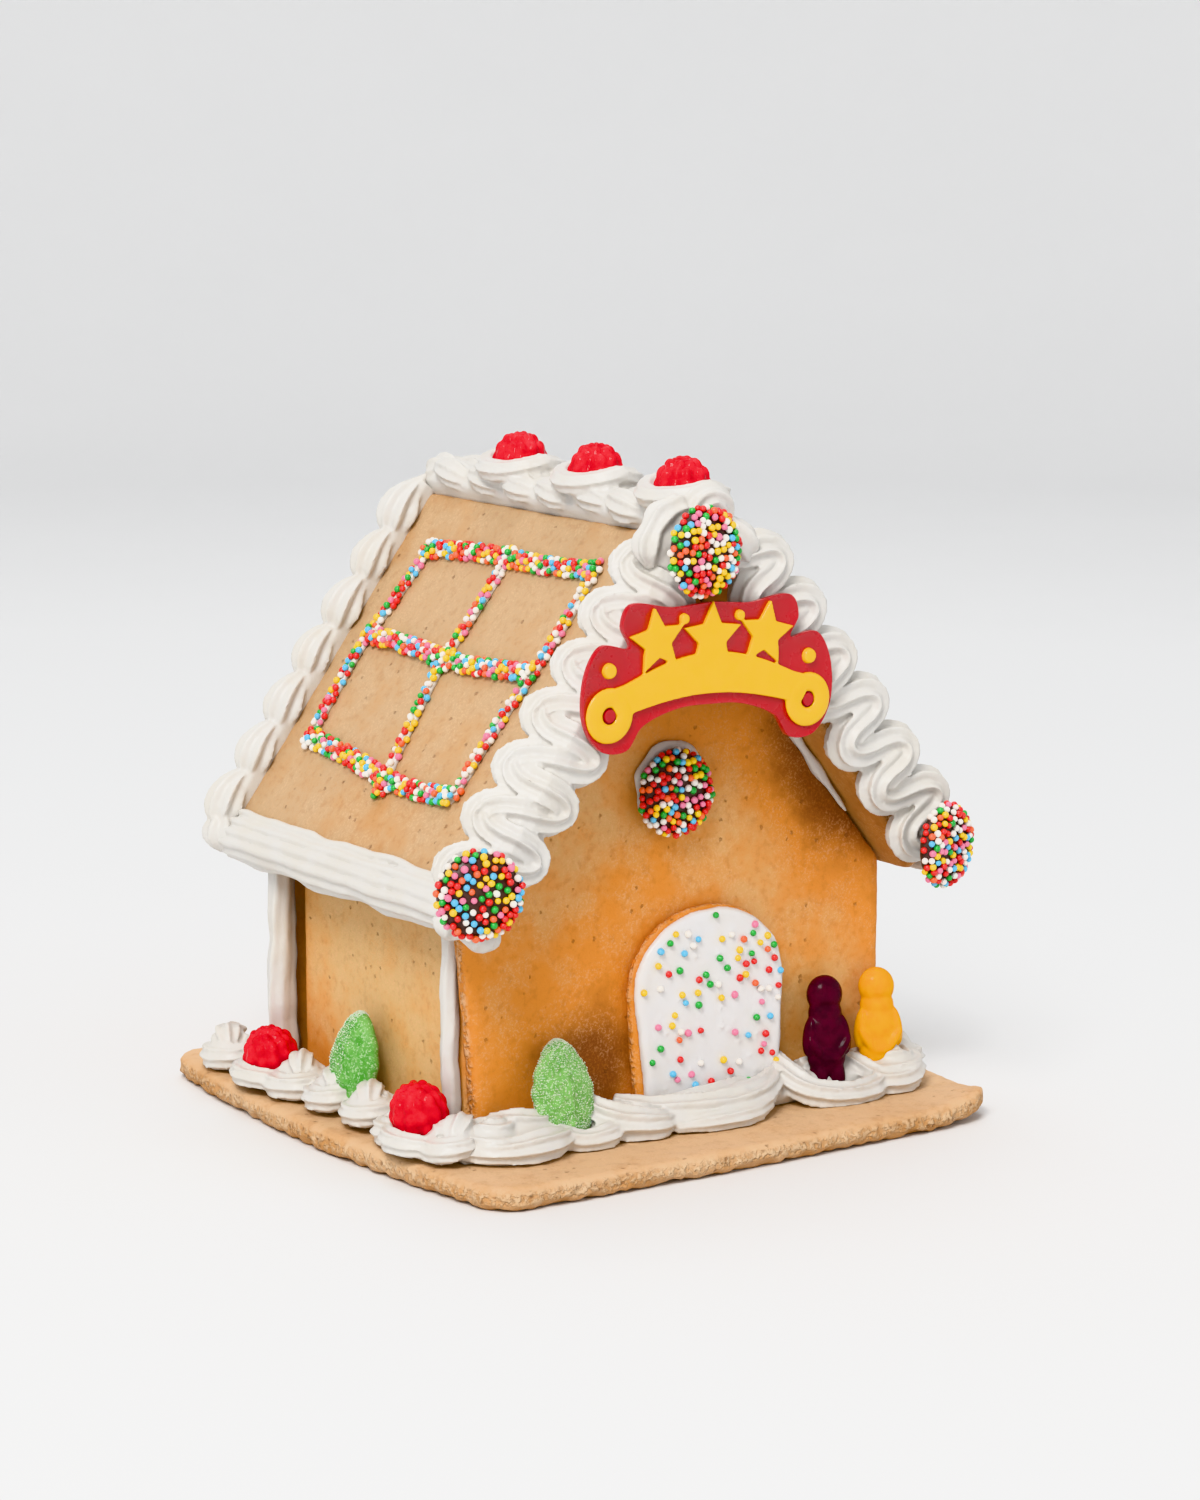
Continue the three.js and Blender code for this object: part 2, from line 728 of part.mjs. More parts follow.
piece(house, 'board', boardGeometry(), 'gingerbread');

const front = upright(slab(gableShape(GABLE_FOOT_LEFT), WALL_T, 0.6));
piece(house, 'wall_front', front, 'wall', [0, FRONT_Y, 0]);
const back = upright(slab(gableShape(GABLE_HALF_X - 1), WALL_T, 0.6));
piece(house, 'wall_back', back, 'wall', [0, BACK_Y - WALL_T, 0]);
piece(house, 'wall_left', sideWallGeometry(-1), 'wall', [-SIDE_X, 0, 0]);
piece(house, 'wall_right', sideWallGeometry(1), 'wall', [SIDE_X, 0, 0]);

const slopes = {};
for (const [side, name] of [[-1, 'left'], [1, 'right']]) {
  const slope = new THREE.Group();
  slope.name = `slope_${name}`;
  slope.position.set(RIDGE_X, 0, RIDGE_Z);
  slope.rotation.set(0, side * rad(PITCH[side]), 0);
  house.add(slope);
  slopes[side] = slope;
  piece(slope, `roof_${name}`, panelGeometry(side), 'gingerbread');
  piece(slope, `window_${name}`, windowGeometry(side), 'sprinkles');
  piece(slope, `gable_icing_${name}`, gableIcingGeometry(side), 'icing', [0, ROPE_Y, 0]);
  piece(slope, `eave_icing_${name}`, eaveIcingGeometry(side), 'icing');
  const verge = vergeIcingGeometry(side, PANEL_LENGTH[side] + 1.5);
  piece(slope, `verge_icing_${name}`, verge, 'icing', [0, PANEL_BACK_Y, 0]);
}

// Ridge icing with three jelly berries pressed into it.
const ridge = new THREE.Group();
ridge.name = 'ridge';
ridge.position.set(RIDGE_X, 0, RIDGE_Z);
house.add(ridge);
const RIDGE_BERRIES = [
  { name: 'ridge_berry_back', y: 21.4, r: 8.3, turn: [0, 0, 0.2] },
  { name: 'ridge_berry_middle', y: -17.4, r: 8.3, turn: [0, 0, 0.9] },
  { name: 'ridge_berry_front', y: -58.9, r: 8.2, turn: [0, 0, 1.5] },
];
const BERRY_H = 12.6;
const ridgeTools = [];
for (const berry of RIDGE_BERRIES) {
  ridgeTools.push(moved(berryTool(berry.r, BERRY_H), 1, berry.y, 0.3));
  piece(ridge, berry.name, berryGeometry(berry.r, BERRY_H), 'red_jelly', [1, berry.y, 0.3], berry.turn);
}
piece(ridge, 'ridge_icing', ridgeIcingGeometry(ridgeTools), 'icing');
const knob = tube([[6.6, -67.6], [8.6, -70.4], [8.4, -75], [6.4, -77.6]].map(([r, y]) => (
  steps(0, 360, 12).slice(0, 12).map((a) => V3(Math.cos(rad(a)) * r, y, Math.sin(rad(a)) * r - 2)))));
piece(ridge, 'peak_icing', knob, 'icing');

// Door: an arched biscuit stuck to the front wall, flooded with icing.
piece(house, 'door_biscuit', doorGeometry(0, DOOR_T, 1), 'gingerbread', [DOOR_X, FRONT_Y - GAP, 0]);
const doorFace = FRONT_Y - DOOR_T - 2 * GAP;
const glaze = doorGeometry(0.7, DOOR_ICING_T, 0.6, 0.82);
piece(house, 'door_icing', glaze, 'door_icing', [DOOR_X, doorFace, 0]);

// Sweets standing in the icing at the foot of the walls.
const SWEETS = [
  {
    name: 'leaf_front',
    kind: 'leaf',
    slot: 'green_jelly',
    at: [-45.4, -60.4, FLOOR + 0.2],
    turn: [-0.22, 0, 0],
  },
  {
    name: 'leaf_left',
    kind: 'leaf',
    slot: 'green_jelly',
    at: [-75, -2.2, FLOOR + 0.3],
    turn: [-0.2, 0, -1.43],
  },
  {
    name: 'leaf_right',
    kind: 'leaf',
    slot: 'green_jelly',
    at: [75, -2.2, FLOOR + 0.3],
    turn: [-0.2, 0, 1.43],
  },
  {
    name: 'figure_purple',
    kind: 'figure',
    slot: 'purple_jelly',
    at: [45.9, -61.2, FLOOR + 0.8],
    turn: [-0.1, 0, -0.3],
  },
  {
    name: 'figure_yellow',
    kind: 'figure',
    slot: 'yellow_jelly',
    at: [64.6, -61.2, FLOOR + 0.6],
    turn: [-0.1, 0, -0.35],
  },
  {
    name: 'berry_left_back',
    kind: 'berry',
    slot: 'red_jelly',
    at: [-79.6, 36.4, FLOOR + 4.9],
    turn: [0, -0.3, 0.4],
  },
  {
    name: 'berry_left_front',
    kind: 'berry',
    slot: 'red_jelly',
    at: [-81.4, -47, FLOOR + 7.2],
    turn: [0, -0.3, 0.9],
  },
  {
    name: 'berry_right_back',
    kind: 'berry',
    slot: 'red_jelly',
    at: [79.6, 36.4, FLOOR + 4.9],
    turn: [0, 0.3, 0.4],
  },
  {
    name: 'berry_right_front',
    kind: 'berry',
    slot: 'red_jelly',
    at: [81.4, -24.5, FLOOR + 5.2],
    turn: [0, 0.3, 0.9],
  },
];
const LEAF = [10, 28.6, 8];
const SWEET_SHAPES = {
  leaf: () => leafGeometry(...LEAF),
  figure: () => figureGeometry(),
  berry: () => berryGeometry(8.4, BERRY_H),
};
const SWEET_TOOLS = {
  leaf: () => leafTool(...LEAF),
  figure: () => figureTool(),
  berry: () => berryTool(8.4, BERRY_H),
};
function tiltedMatrix(sweet) {
  const turn = new THREE.Euler(sweet.turn[0], sweet.turn[1], sweet.turn[2], 'ZYX');
  return new THREE.Matrix4().makeRotationFromEuler(turn).setPosition(...sweet.at);
}
const footTools = [];
for (const sweet of SWEETS) {
  const mesh = piece(house, sweet.name, SWEET_SHAPES[sweet.kind](), sweet.slot, sweet.at);
  mesh.rotation.set(sweet.turn[0], sweet.turn[1], sweet.turn[2], 'ZYX');
  footTools.push(SWEET_TOOLS[sweet.kind]().applyMatrix4(tiltedMatrix(sweet)));
}

// Icing columns in the four corners of the house.
const COLUMNS = [
  { name: 'corner_icing_front_left', at: [-70.3, -43.5], size: [2.2, 2.3], top: 71 },
  { name: 'corner_icing_front_right', at: [70.3, -43.5], size: [2.2, 2.3], top: 65 },
  { name: 'corner_icing_back_left', at: [-71.9, 44.7], size: [4.2, 3.2], top: 71 },
  { name: 'corner_icing_back_right', at: [71.9, 44.7], size: [4.2, 3.2], top: 65 },
];
for (const column of COLUMNS) {
  const [x, y] = column.at;
  const [rx, ry] = column.size;
  piece(house, column.name, columnGeometry(rx, ry, BASE_TOP + GAP, column.top), 'icing', [x, y, 0]);
}
footTools.push(moved(doorGeometry(-0.4, DOOR_T + DOOR_ICING_T + 1.2, 0), DOOR_X, FRONT_Y, -0.6));

// Icing round the foot of the house, one border per wall.
const sideReach = BASE_W + 1.5;
const leftFoot = footIcing(-70.5, 74, 9, sideReach, BASE_TOP, (y, p) => V3(-SIDE_X - GAP - p.x, y, p.y));
const rightFoot = footIcing(-62, 74, 9, sideReach, BASE_TOP, (y, p) => V3(SIDE_X + GAP + p.x, y, p.y));
const frontFoot = footIcing(-67.4, 67.4, 8, BASE_W, BASE_TOP, (x, p) => V3(x, FRONT_Y - GAP - p.x, p.y));
const backFoot = footIcing(-67.2, 67.2, 8, BASE_W, BASE_TOP, (x, p) => V3(x, BACK_Y + GAP + p.x, p.y));
const gableTool = (y0, y1) => {
  const half = GABLE_HALF_X + GAP;
  const box = slab(new THREE.Shape([V2(-half, 0), V2(half, 0), V2(half, 60), V2(-half, 60)]), y1 - y0, 0);
  box.rotateX(Math.PI / 2);
  box.translate(0, y1, 0);
  return box;
};
const gables = [
  gableTool(FRONT_Y - GAP, FRONT_Y + WALL_T + GAP),
  gableTool(BACK_Y - WALL_T - GAP, BACK_Y + GAP),
];
piece(house, 'base_icing_left', carve(leftFoot, [...footTools, ...gables]), 'icing');
piece(house, 'base_icing_right', carve(rightFoot, [...footTools, ...gables]), 'icing');
piece(house, 'base_icing_front', carve(frontFoot, footTools), 'icing');
piece(house, 'base_icing_back', carve(backFoot, footTools), 'icing');

// Beads of icing between the gable wall and the roof panels in front of it.
for (const [side, name] of [[-1, 'left'], [1, 'right']]) {
  const from = 40;
  const to = 108;
  const rings = steps(from, to, 6).map((u, i) => (
    steps(0, 360, 6).slice(0, 6).map((a) => {
      const k = i % 2 === 0 ? 0.85 : 1;
      return V3(side * u, Math.cos(rad(a)) * 1.6 * k, Math.sin(rad(a)) * 1.9 * k);
    })));
  const bead = tube(rings);
  piece(slopes[side], `seam_icing_${name}`, bead, 'icing', [0, FRONT_Y - 2.1, -PANEL_T - 2.4]);
}

// Sprinkle drops: one at the peak, one at each eave, one in the gable on a dab of icing.
const FRECKLES = [
  { name: 'freckle_peak', r: 12.5, at: [-12.9, -79.4, 170.2], yaw: 0.12 },
  { name: 'freckle_left', r: 12.3, at: [-84, -78.9, 85.2], yaw: -0.3 },
  { name: 'freckle_right', r: 12.2, at: [69.4, -81.9, 81], yaw: 0.33 },
  { name: 'freckle_gable', r: 12.4, at: [-4.4, FRONT_Y - 2.6, 99.8], yaw: 0 },
];
for (const freckle of FRECKLES) {
  const holder = new THREE.Group();
  holder.name = `${freckle.name}_holder`;
  holder.position.set(...freckle.at);
  holder.rotation.set(0, 0, freckle.yaw);
  house.add(holder);
  const drop = freckleGeometry(freckle.r);
  piece(holder, freckle.name, drop, 'chocolate_sprinkles', [0, 0, 0], [Math.PI / 2, 0, 0]);
}
const dab = skin(
  [[0.97, 0], [1, 0.9], [0.9, 1.9]].map(([k, z]) => (
    steps(0, 360, 14).slice(0, 14).map(rad).map((a) => (
      V3(Math.cos(a) * 12.6 * k, Math.sin(a) * 12.6 * k, z))))),
  V3(0, 0, 0),
  V3(0, 0, 2),
);
piece(house, 'freckle_dab', dab, 'icing', [-3.8, FRONT_Y - GAP, 102], [Math.PI / 2, 0, 0]);

// Plastic sign resting on the two ropes of icing.
const sign = new THREE.Group();
sign.name = 'sign';
sign.position.set(-9.8, -78.4, 137.4);
sign.rotation.set(0, rad(1.5), 0);
house.add(sign);
const plate = slab(signShape(0), 2, 0.5);
plate.rotateX(Math.PI / 2);
piece(sign, 'sign_plate', plate, 'red_plastic');
piece(sign, 'sign_motif', motifGeometry(), 'yellow_plastic', [0, -2 - GAP, 0]);

export default house;
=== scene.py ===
"""Gingerbread house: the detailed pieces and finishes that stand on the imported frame."""

import math
import random

import bmesh
import bpy
import numpy as np
from mathutils import Matrix, Vector, noise


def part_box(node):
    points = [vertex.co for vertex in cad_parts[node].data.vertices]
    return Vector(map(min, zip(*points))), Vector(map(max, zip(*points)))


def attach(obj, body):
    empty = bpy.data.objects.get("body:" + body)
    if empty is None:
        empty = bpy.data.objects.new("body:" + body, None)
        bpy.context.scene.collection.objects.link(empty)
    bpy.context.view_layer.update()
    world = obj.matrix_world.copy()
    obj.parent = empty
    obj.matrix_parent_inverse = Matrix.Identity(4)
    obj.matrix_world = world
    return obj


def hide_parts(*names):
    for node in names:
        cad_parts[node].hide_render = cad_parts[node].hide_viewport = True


bl_info = {
    "name": "Gingerbread house",
    "version": (1, 0, 0),
    "blender": (4, 5, 0),
    "location": "View3D > Sidebar > Gingerbread",
    "description": "Bakes, ices and decorates a gingerbread house around its packed frame",
    "category": "Object",
}

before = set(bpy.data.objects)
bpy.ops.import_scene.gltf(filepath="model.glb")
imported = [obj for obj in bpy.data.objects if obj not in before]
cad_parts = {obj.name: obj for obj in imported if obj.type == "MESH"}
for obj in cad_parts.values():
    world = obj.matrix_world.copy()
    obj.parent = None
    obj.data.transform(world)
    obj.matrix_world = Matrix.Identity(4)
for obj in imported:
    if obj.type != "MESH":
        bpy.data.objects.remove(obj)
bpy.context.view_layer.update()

MM = 0.001
LEFT, RIGHT = -1, 1
SIDE_NAME = {LEFT: "left", RIGHT: "right"}


def paint(code, alpha=1.0):
    """A colour written as two hex digits each of red, green and blue, as linear light."""
    channels = [int(code[i : i + 2], 16) / 255 for i in (0, 2, 4)]
    linear = [c / 12.92 if c <= 0.04045 else ((c + 0.055) / 1.055) ** 2.4 for c in channels]
    return (*linear, alpha)


def colour_property(name, description, code):
    return bpy.props.FloatVectorProperty(
        name=name, description=description, default=paint(code), size=4, min=0, max=1, subtype="COLOR"
    )


def length_property(name, description, millimetres, low=0.05):
    return bpy.props.FloatProperty(
        name=name,
        description=description,
        default=millimetres * MM,
        min=low * MM,
        unit="LENGTH",
        precision=5,
    )


class GingerbreadSizes(bpy.types.PropertyGroup):
    sprinkle: length_property("Sprinkle", "Diameter of one sugar sprinkle", 2.0)
    gable_rope: length_property("Gable rope", "Radius of the piped rope on the gable edges", 6.1)
    border_rope: length_property("Border rope", "Radius of the piped loops round the foot of the walls", 4.7)
    icing_detail: length_property("Icing detail", "Grid on which piped strands are fused", 0.55)
    crumb_detail: length_property("Crumb detail", "Grid of the baked panels", 1.25)
    jelly_detail: length_property("Jelly detail", "Grid on which jelly shapes are fused", 0.42)
    sugar_grain: length_property("Sugar grain", "Size of one sugar crystal on the jellies", 0.23)
    left_pitch: bpy.props.FloatProperty(
        name="Left pitch", description="Slope of the left roof", default=math.radians(53.6), subtype="ANGLE"
    )
    right_pitch: bpy.props.FloatProperty(
        name="Right pitch", description="Slope of the right roof", default=math.radians(51.8), subtype="ANGLE"
    )
    seed: bpy.props.IntProperty(name="Seed", description="Start of every scatter", default=7, min=0)


class GingerbreadColours(bpy.types.PropertyGroup):
    biscuit: colour_property("Biscuit", "Pale baked gingerbread of the roof", "ba9b78")
    board: colour_property("Board", "Pale baked gingerbread of the board", "d8b38c")
    biscuit_dark: colour_property("Biscuit, browned", "Browned gingerbread", "be8a55")
    wall: colour_property("Wall", "Gingerbread of the walls", "d3ad78")
    # The browned wall colour also paints the shade patches on the front wall.
    wall_dark: colour_property("Wall, browned", "Deep brown patches of the walls", "dd8e41")
    flour: colour_property("Flour", "Dry flour left on the crust", "ead5b4")
    icing: colour_property("Icing", "Piped icing", "cdcac5")
    glaze: colour_property("Door glaze", "Flooded icing on the door", "d9d7d7")
    chocolate: colour_property("Chocolate", "Chocolate under the sprinkles", "4a2f27")
    berry: colour_property("Red jelly", "Jelly berries", "e20822")
    leaf: colour_property("Green jelly", "Jelly leaves", "74ab5c")
    purple: colour_property("Purple jelly", "Purple jelly figure", "520a22")
    yellow: colour_property("Yellow jelly", "Yellow jelly figure", "eaa500")
    sign: colour_property("Sign", "Red plastic plate", "b40d1b")
    sign_motif: colour_property("Sign motif", "Raised yellow motif", "f3bf02")
    sugar: colour_property("Sugar", "Sugar crystals", "dfe6cf")
    # The burnt colour also paints the deepest shade on the front wall.
    burnt: colour_property("Burnt", "Darkest baked patches", "824a22")
    floor: colour_property("Floor", "Studio floor and backdrop", "e3e3e3")


SPRINKLE_COLOURS = [
    (paint("e2160f"), 24),
    (paint("fb6a2c"), 9),
    (paint("fcd20c"), 17),
    (paint("1da43a"), 14),
    (paint("62bfe8"), 11),
    (paint("f285a8"), 10),
    (paint("ece7e0"), 22),
]


def sizes():
    return bpy.context.scene.gingerbread_sizes


def colours():
    return bpy.context.scene.gingerbread_colours


# ------------------------------------------------------------------ places on the house

RIDGE = Vector((-5 * MM, 0, 180 * MM))
PANEL_LENGTH = {LEFT: 129 * MM, RIGHT: 137 * MM}
PANEL_THICK = 6.3 * MM
PANEL_TOP = 8.6 * MM
PANEL_FRONT, PANEL_BACK = -66.4 * MM, 63.5 * MM
ROPE_PLANE = -72.2 * MM
GLUE_GAP = 0.3 * MM
BOARD_TOP = 7 * MM
WALL_THICK = 6 * MM
FRONT_FACE = -52.3 * MM
BACK_FACE = 54.3 * MM


def pitch(side):
    return sizes().left_pitch if side == LEFT else sizes().right_pitch


def slope(side):
    """Frame of a roof panel: X down the slope, Y to the back, Z out of the roof."""
    angle = pitch(side)
    down = Vector((side * math.cos(angle), 0, -math.sin(angle)))
    out = Vector((side * math.sin(angle), 0, math.cos(angle)))
    turn = Matrix((down, Vector((0, 1, 0)), out)).transposed().to_4x4()
    return Matrix.Translation(RIDGE) @ turn


def up_axis():
    return Vector((0, 0, 1))


def front_axis():
    return Vector((0, -1, 0))


def aim(point, tangent, up, across, deep, twist=0.0):
    """Frame of one section of a piped strand: its circle lies in local X and Y."""
    z = tangent.normalized()
    x = up.cross(z).normalized()
    y = z.cross(x)
    turn = Matrix((x, y, z)).transposed().to_4x4()
    sized = Matrix.Diagonal((across, deep, 1, 1))
    return Matrix.Translation(point) @ turn @ Matrix.Rotation(twist, 4, "Z") @ sized


def ease(t):
    t = min(1.0, max(0.0, t))
    return t * t * (3 - 2 * t)


# ------------------------------------------------------------------ mesh helpers


def spline(a, b, c, d, t):
    """A point between b and c on the smooth curve through four stops."""
    return 0.5 * (2 * b + (c - a) * t + (2 * a - 5 * b + 4 * c - d) * t * t + (3 * b - a - 3 * c + d) * t**3)


def make_object(name, bm):
    mesh = bpy.data.meshes.new(name)
    bmesh.ops.recalc_face_normals(bm, faces=bm.faces[:])
    bm.to_mesh(mesh)
    bm.free()
    piece = bpy.data.objects.new(name, mesh)
    bpy.context.collection.objects.link(piece)
    return piece


def bake_modifiers(piece):
    graph = bpy.context.evaluated_depsgraph_get()
    mesh = bpy.data.meshes.new_from_object(piece.evaluated_get(graph))
    old = piece.data
    piece.modifiers.clear()
    piece.data = mesh
    mesh.name = piece.name
    bpy.data.meshes.remove(old)
    return piece


def fuse(piece, grid, softening, factor=0.5):
    """Joins strands that run into each other into one skin and softens it."""
    remesh = piece.modifiers.new("fuse", "REMESH")
    remesh.mode = "VOXEL"
    remesh.voxel_size = grid
    remesh.adaptivity = 0
    if softening:
        soften = piece.modifiers.new("soften", "SMOOTH")
        soften.factor = factor
        soften.iterations = softening
    return bake_modifiers(piece)


def vertex_array(mesh):
    flat = np.empty(len(mesh.vertices) * 3, dtype=np.float32)
    mesh.vertices.foreach_get("co", flat)
    return flat.reshape(-1, 3)


def normal_array(mesh):
    flat = np.empty(len(mesh.vertices) * 3, dtype=np.float32)
    mesh.vertex_normals.foreach_get("vector", flat)
    return flat.reshape(-1, 3)


def write_vertices(mesh, points):
    mesh.vertices.foreach_set("co", points.astype(np.float32).ravel())
    mesh.update()


def write_value(mesh, name, values):
    layer = mesh.attributes.new(name, "FLOAT", "POINT")
    layer.data.foreach_set("value", values.astype(np.float32))


def rough_noise(points, size, seed):
    shift = Vector((seed * 7.31, seed * 3.17, seed * 5.73))
    return np.array([noise.noise(Vector(p) / size + shift) for p in points.tolist()])


def finish_piece(piece, material, slot, *nodes):
    piece.data.shade_smooth()
    if material is not None:
        piece.data.materials.clear()
        piece.data.materials.append(material)
    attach(piece, "root")
    if nodes:
        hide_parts(*nodes)
    return piece


def place_mesh(piece, matrix):
    piece.data.transform(matrix)
    if matrix.determinant() < 0:
        piece.data.flip_normals()
    piece.data.update()
    return piece


def pipe(bm, stations, lobes=8, ridge=0.09):
    """Pipes a star-tip strand through the stations by extruding its end face from one to the next."""
    made = bmesh.ops.create_circle(bm, cap_ends=True, segments=lobes * 4, radius=1)
    verts = made["verts"]
    for vert in verts:
        turn = math.atan2(vert.co.y, vert.co.x)
        vert.co *= 1 - ridge + ridge * math.cos(lobes * turn)
    bmesh.ops.transform(bm, matrix=stations[0], verts=verts)
    face = next(f for f in verts[0].link_faces)
    for before, after in zip(stations, stations[1:]):
        grown = bmesh.ops.extrude_face_region(bm, geom=[face])["geom"]
        moved = [e for e in grown if isinstance(e, bmesh.types.BMVert)]
        face = next(e for e in grown if isinstance(e, bmesh.types.BMFace))
        bmesh.ops.transform(bm, matrix=after @ before.inverted(), verts=moved)


def strand(points, radii, up, flat=1.0, twist=0.0):
    """Stations along a list of points; `up` is a direction or one direction for each point."""
    stations = []
    for i, point in enumerate(points):
        tangent = points[min(i + 1, len(points) - 1)] - points[max(i - 1, 0)]
        lift = up[i] if isinstance(up, list) else up
        stations.append(aim(point, tangent, lift, radii[i], radii[i] * flat, twist))
    return stations


def slab(bm, outline, depth, edge, segments=3):
    """A flat outline given thickness along Z, its edges bevelled."""
    face = bm.faces.new([bm.verts.new((x, y, 0)) for x, y in outline])
    grown = bmesh.ops.extrude_face_region(bm, geom=[face])["geom"]
    raised = [e for e in grown if isinstance(e, bmesh.types.BMVert)]
    bmesh.ops.translate(bm, vec=(0, 0, depth), verts=raised)
    if edge:
        sharp = [e for e in bm.edges if abs(e.verts[0].co.z - e.verts[1].co.z) < 1e-7]
        bmesh.ops.bevel(
            bm, geom=sharp, offset=edge, affect="EDGES", segments=segments, profile=0.5, material=-1
        )


def turn_profile(bm, profile, steps, weld):
    """Turns a profile all the way round Z."""
    bmesh.ops.spin(
        bm, geom=profile, cent=(0, 0, 0), axis=(0, 0, 1), angle=2 * math.pi, steps=steps, use_merge=True
    )
    bmesh.ops.remove_doubles(bm, verts=bm.verts[:], dist=weld)


def edge_distance(points, outline):
    """Distance of each point from the outline in the XY plane."""
    best = np.full(len(points), 1e9)
    for (ax, ay), (bx, by) in zip(outline, outline[1:] + outline[:1]):
        run = np.array([bx - ax, by - ay])
        off = points[:, :2] - np.array([ax, ay])
        t = np.clip((off @ run) / max(run @ run, 1e-12), 0, 1)
        best = np.minimum(best, np.hypot(*(off - t[:, None] * run).T))
    return best


# ------------------------------------------------------------------ shader helpers


class Graph:
    """Shorthand for building a node tree, one node to a call."""

    def __init__(self, tree):
        self.tree = tree
        self.column = 0

    def add(self, kind, label="", **settings):
        made = self.tree.nodes.new(kind)
        made.location = (self.column, 0)
        self.column += 180
        if label:
            made.label = label
        for key, value in settings.items():
            setattr(made, key, value)
        return made

    def join(self, source, target):
        self.tree.links.new(source, target)

    def feed(self, target, value):
        if isinstance(value, bpy.types.NodeSocket):
            self.join(value, target)
        else:
            target.default_value = value

    def math(self, operation, a, b=0.0, clamp=False):
        made = self.add("ShaderNodeMath", operation=operation, use_clamp=clamp)
        self.feed(made.inputs[0], a)
        self.feed(made.inputs[1], b)
        return made.outputs[0]

    def mix(self, factor, a, b, blend="MIX"):
        made = self.add("ShaderNodeMix", data_type="RGBA", blend_type=blend)
        self.feed(made.inputs["Factor"], factor)
        self.feed(made.inputs[6], a)
        self.feed(made.inputs[7], b)
        return made.outputs[2]

    def noise(self, where, scale, detail=3.0, rough=0.55):
        made = self.add("ShaderNodeTexNoise")
        self.join(where, made.inputs["Vector"])
        self.feed(made.inputs["Scale"], scale)
        made.inputs["Detail"].default_value = detail
        made.inputs["Roughness"].default_value = rough
        return made.outputs["Fac"]

    def cells(self, where, scale, feature="F1", output="Distance"):
        made = self.add("ShaderNodeTexVoronoi", feature=feature)
        self.join(where, made.inputs["Vector"])
        self.feed(made.inputs["Scale"], scale)
        return made.outputs[output]

    def band(self, value, low, high, to_low=0.0, to_high=1.0, smooth=True):
        made = self.add("ShaderNodeMapRange", interpolation_type="SMOOTHSTEP" if smooth else "LINEAR")
        self.feed(made.inputs["Value"], value)
        for name, amount in (("From Min", low), ("From Max", high), ("To Min", to_low), ("To Max", to_high)):
            self.feed(made.inputs[name], amount)
        return made.outputs["Result"]


def group_tree(name, inputs, outputs):
    tree = bpy.data.node_groups.new(name, "ShaderNodeTree")
    for label, kind, value in inputs:
        socket = tree.interface.new_socket(name=label, in_out="INPUT", socket_type=kind)
        if value is not None:
            socket.default_value = value
    for label, kind in outputs:
        tree.interface.new_socket(name=label, in_out="OUTPUT", socket_type=kind)
    graph = Graph(tree)
    return graph, graph.add("NodeGroupInput"), graph.add("NodeGroupOutput")


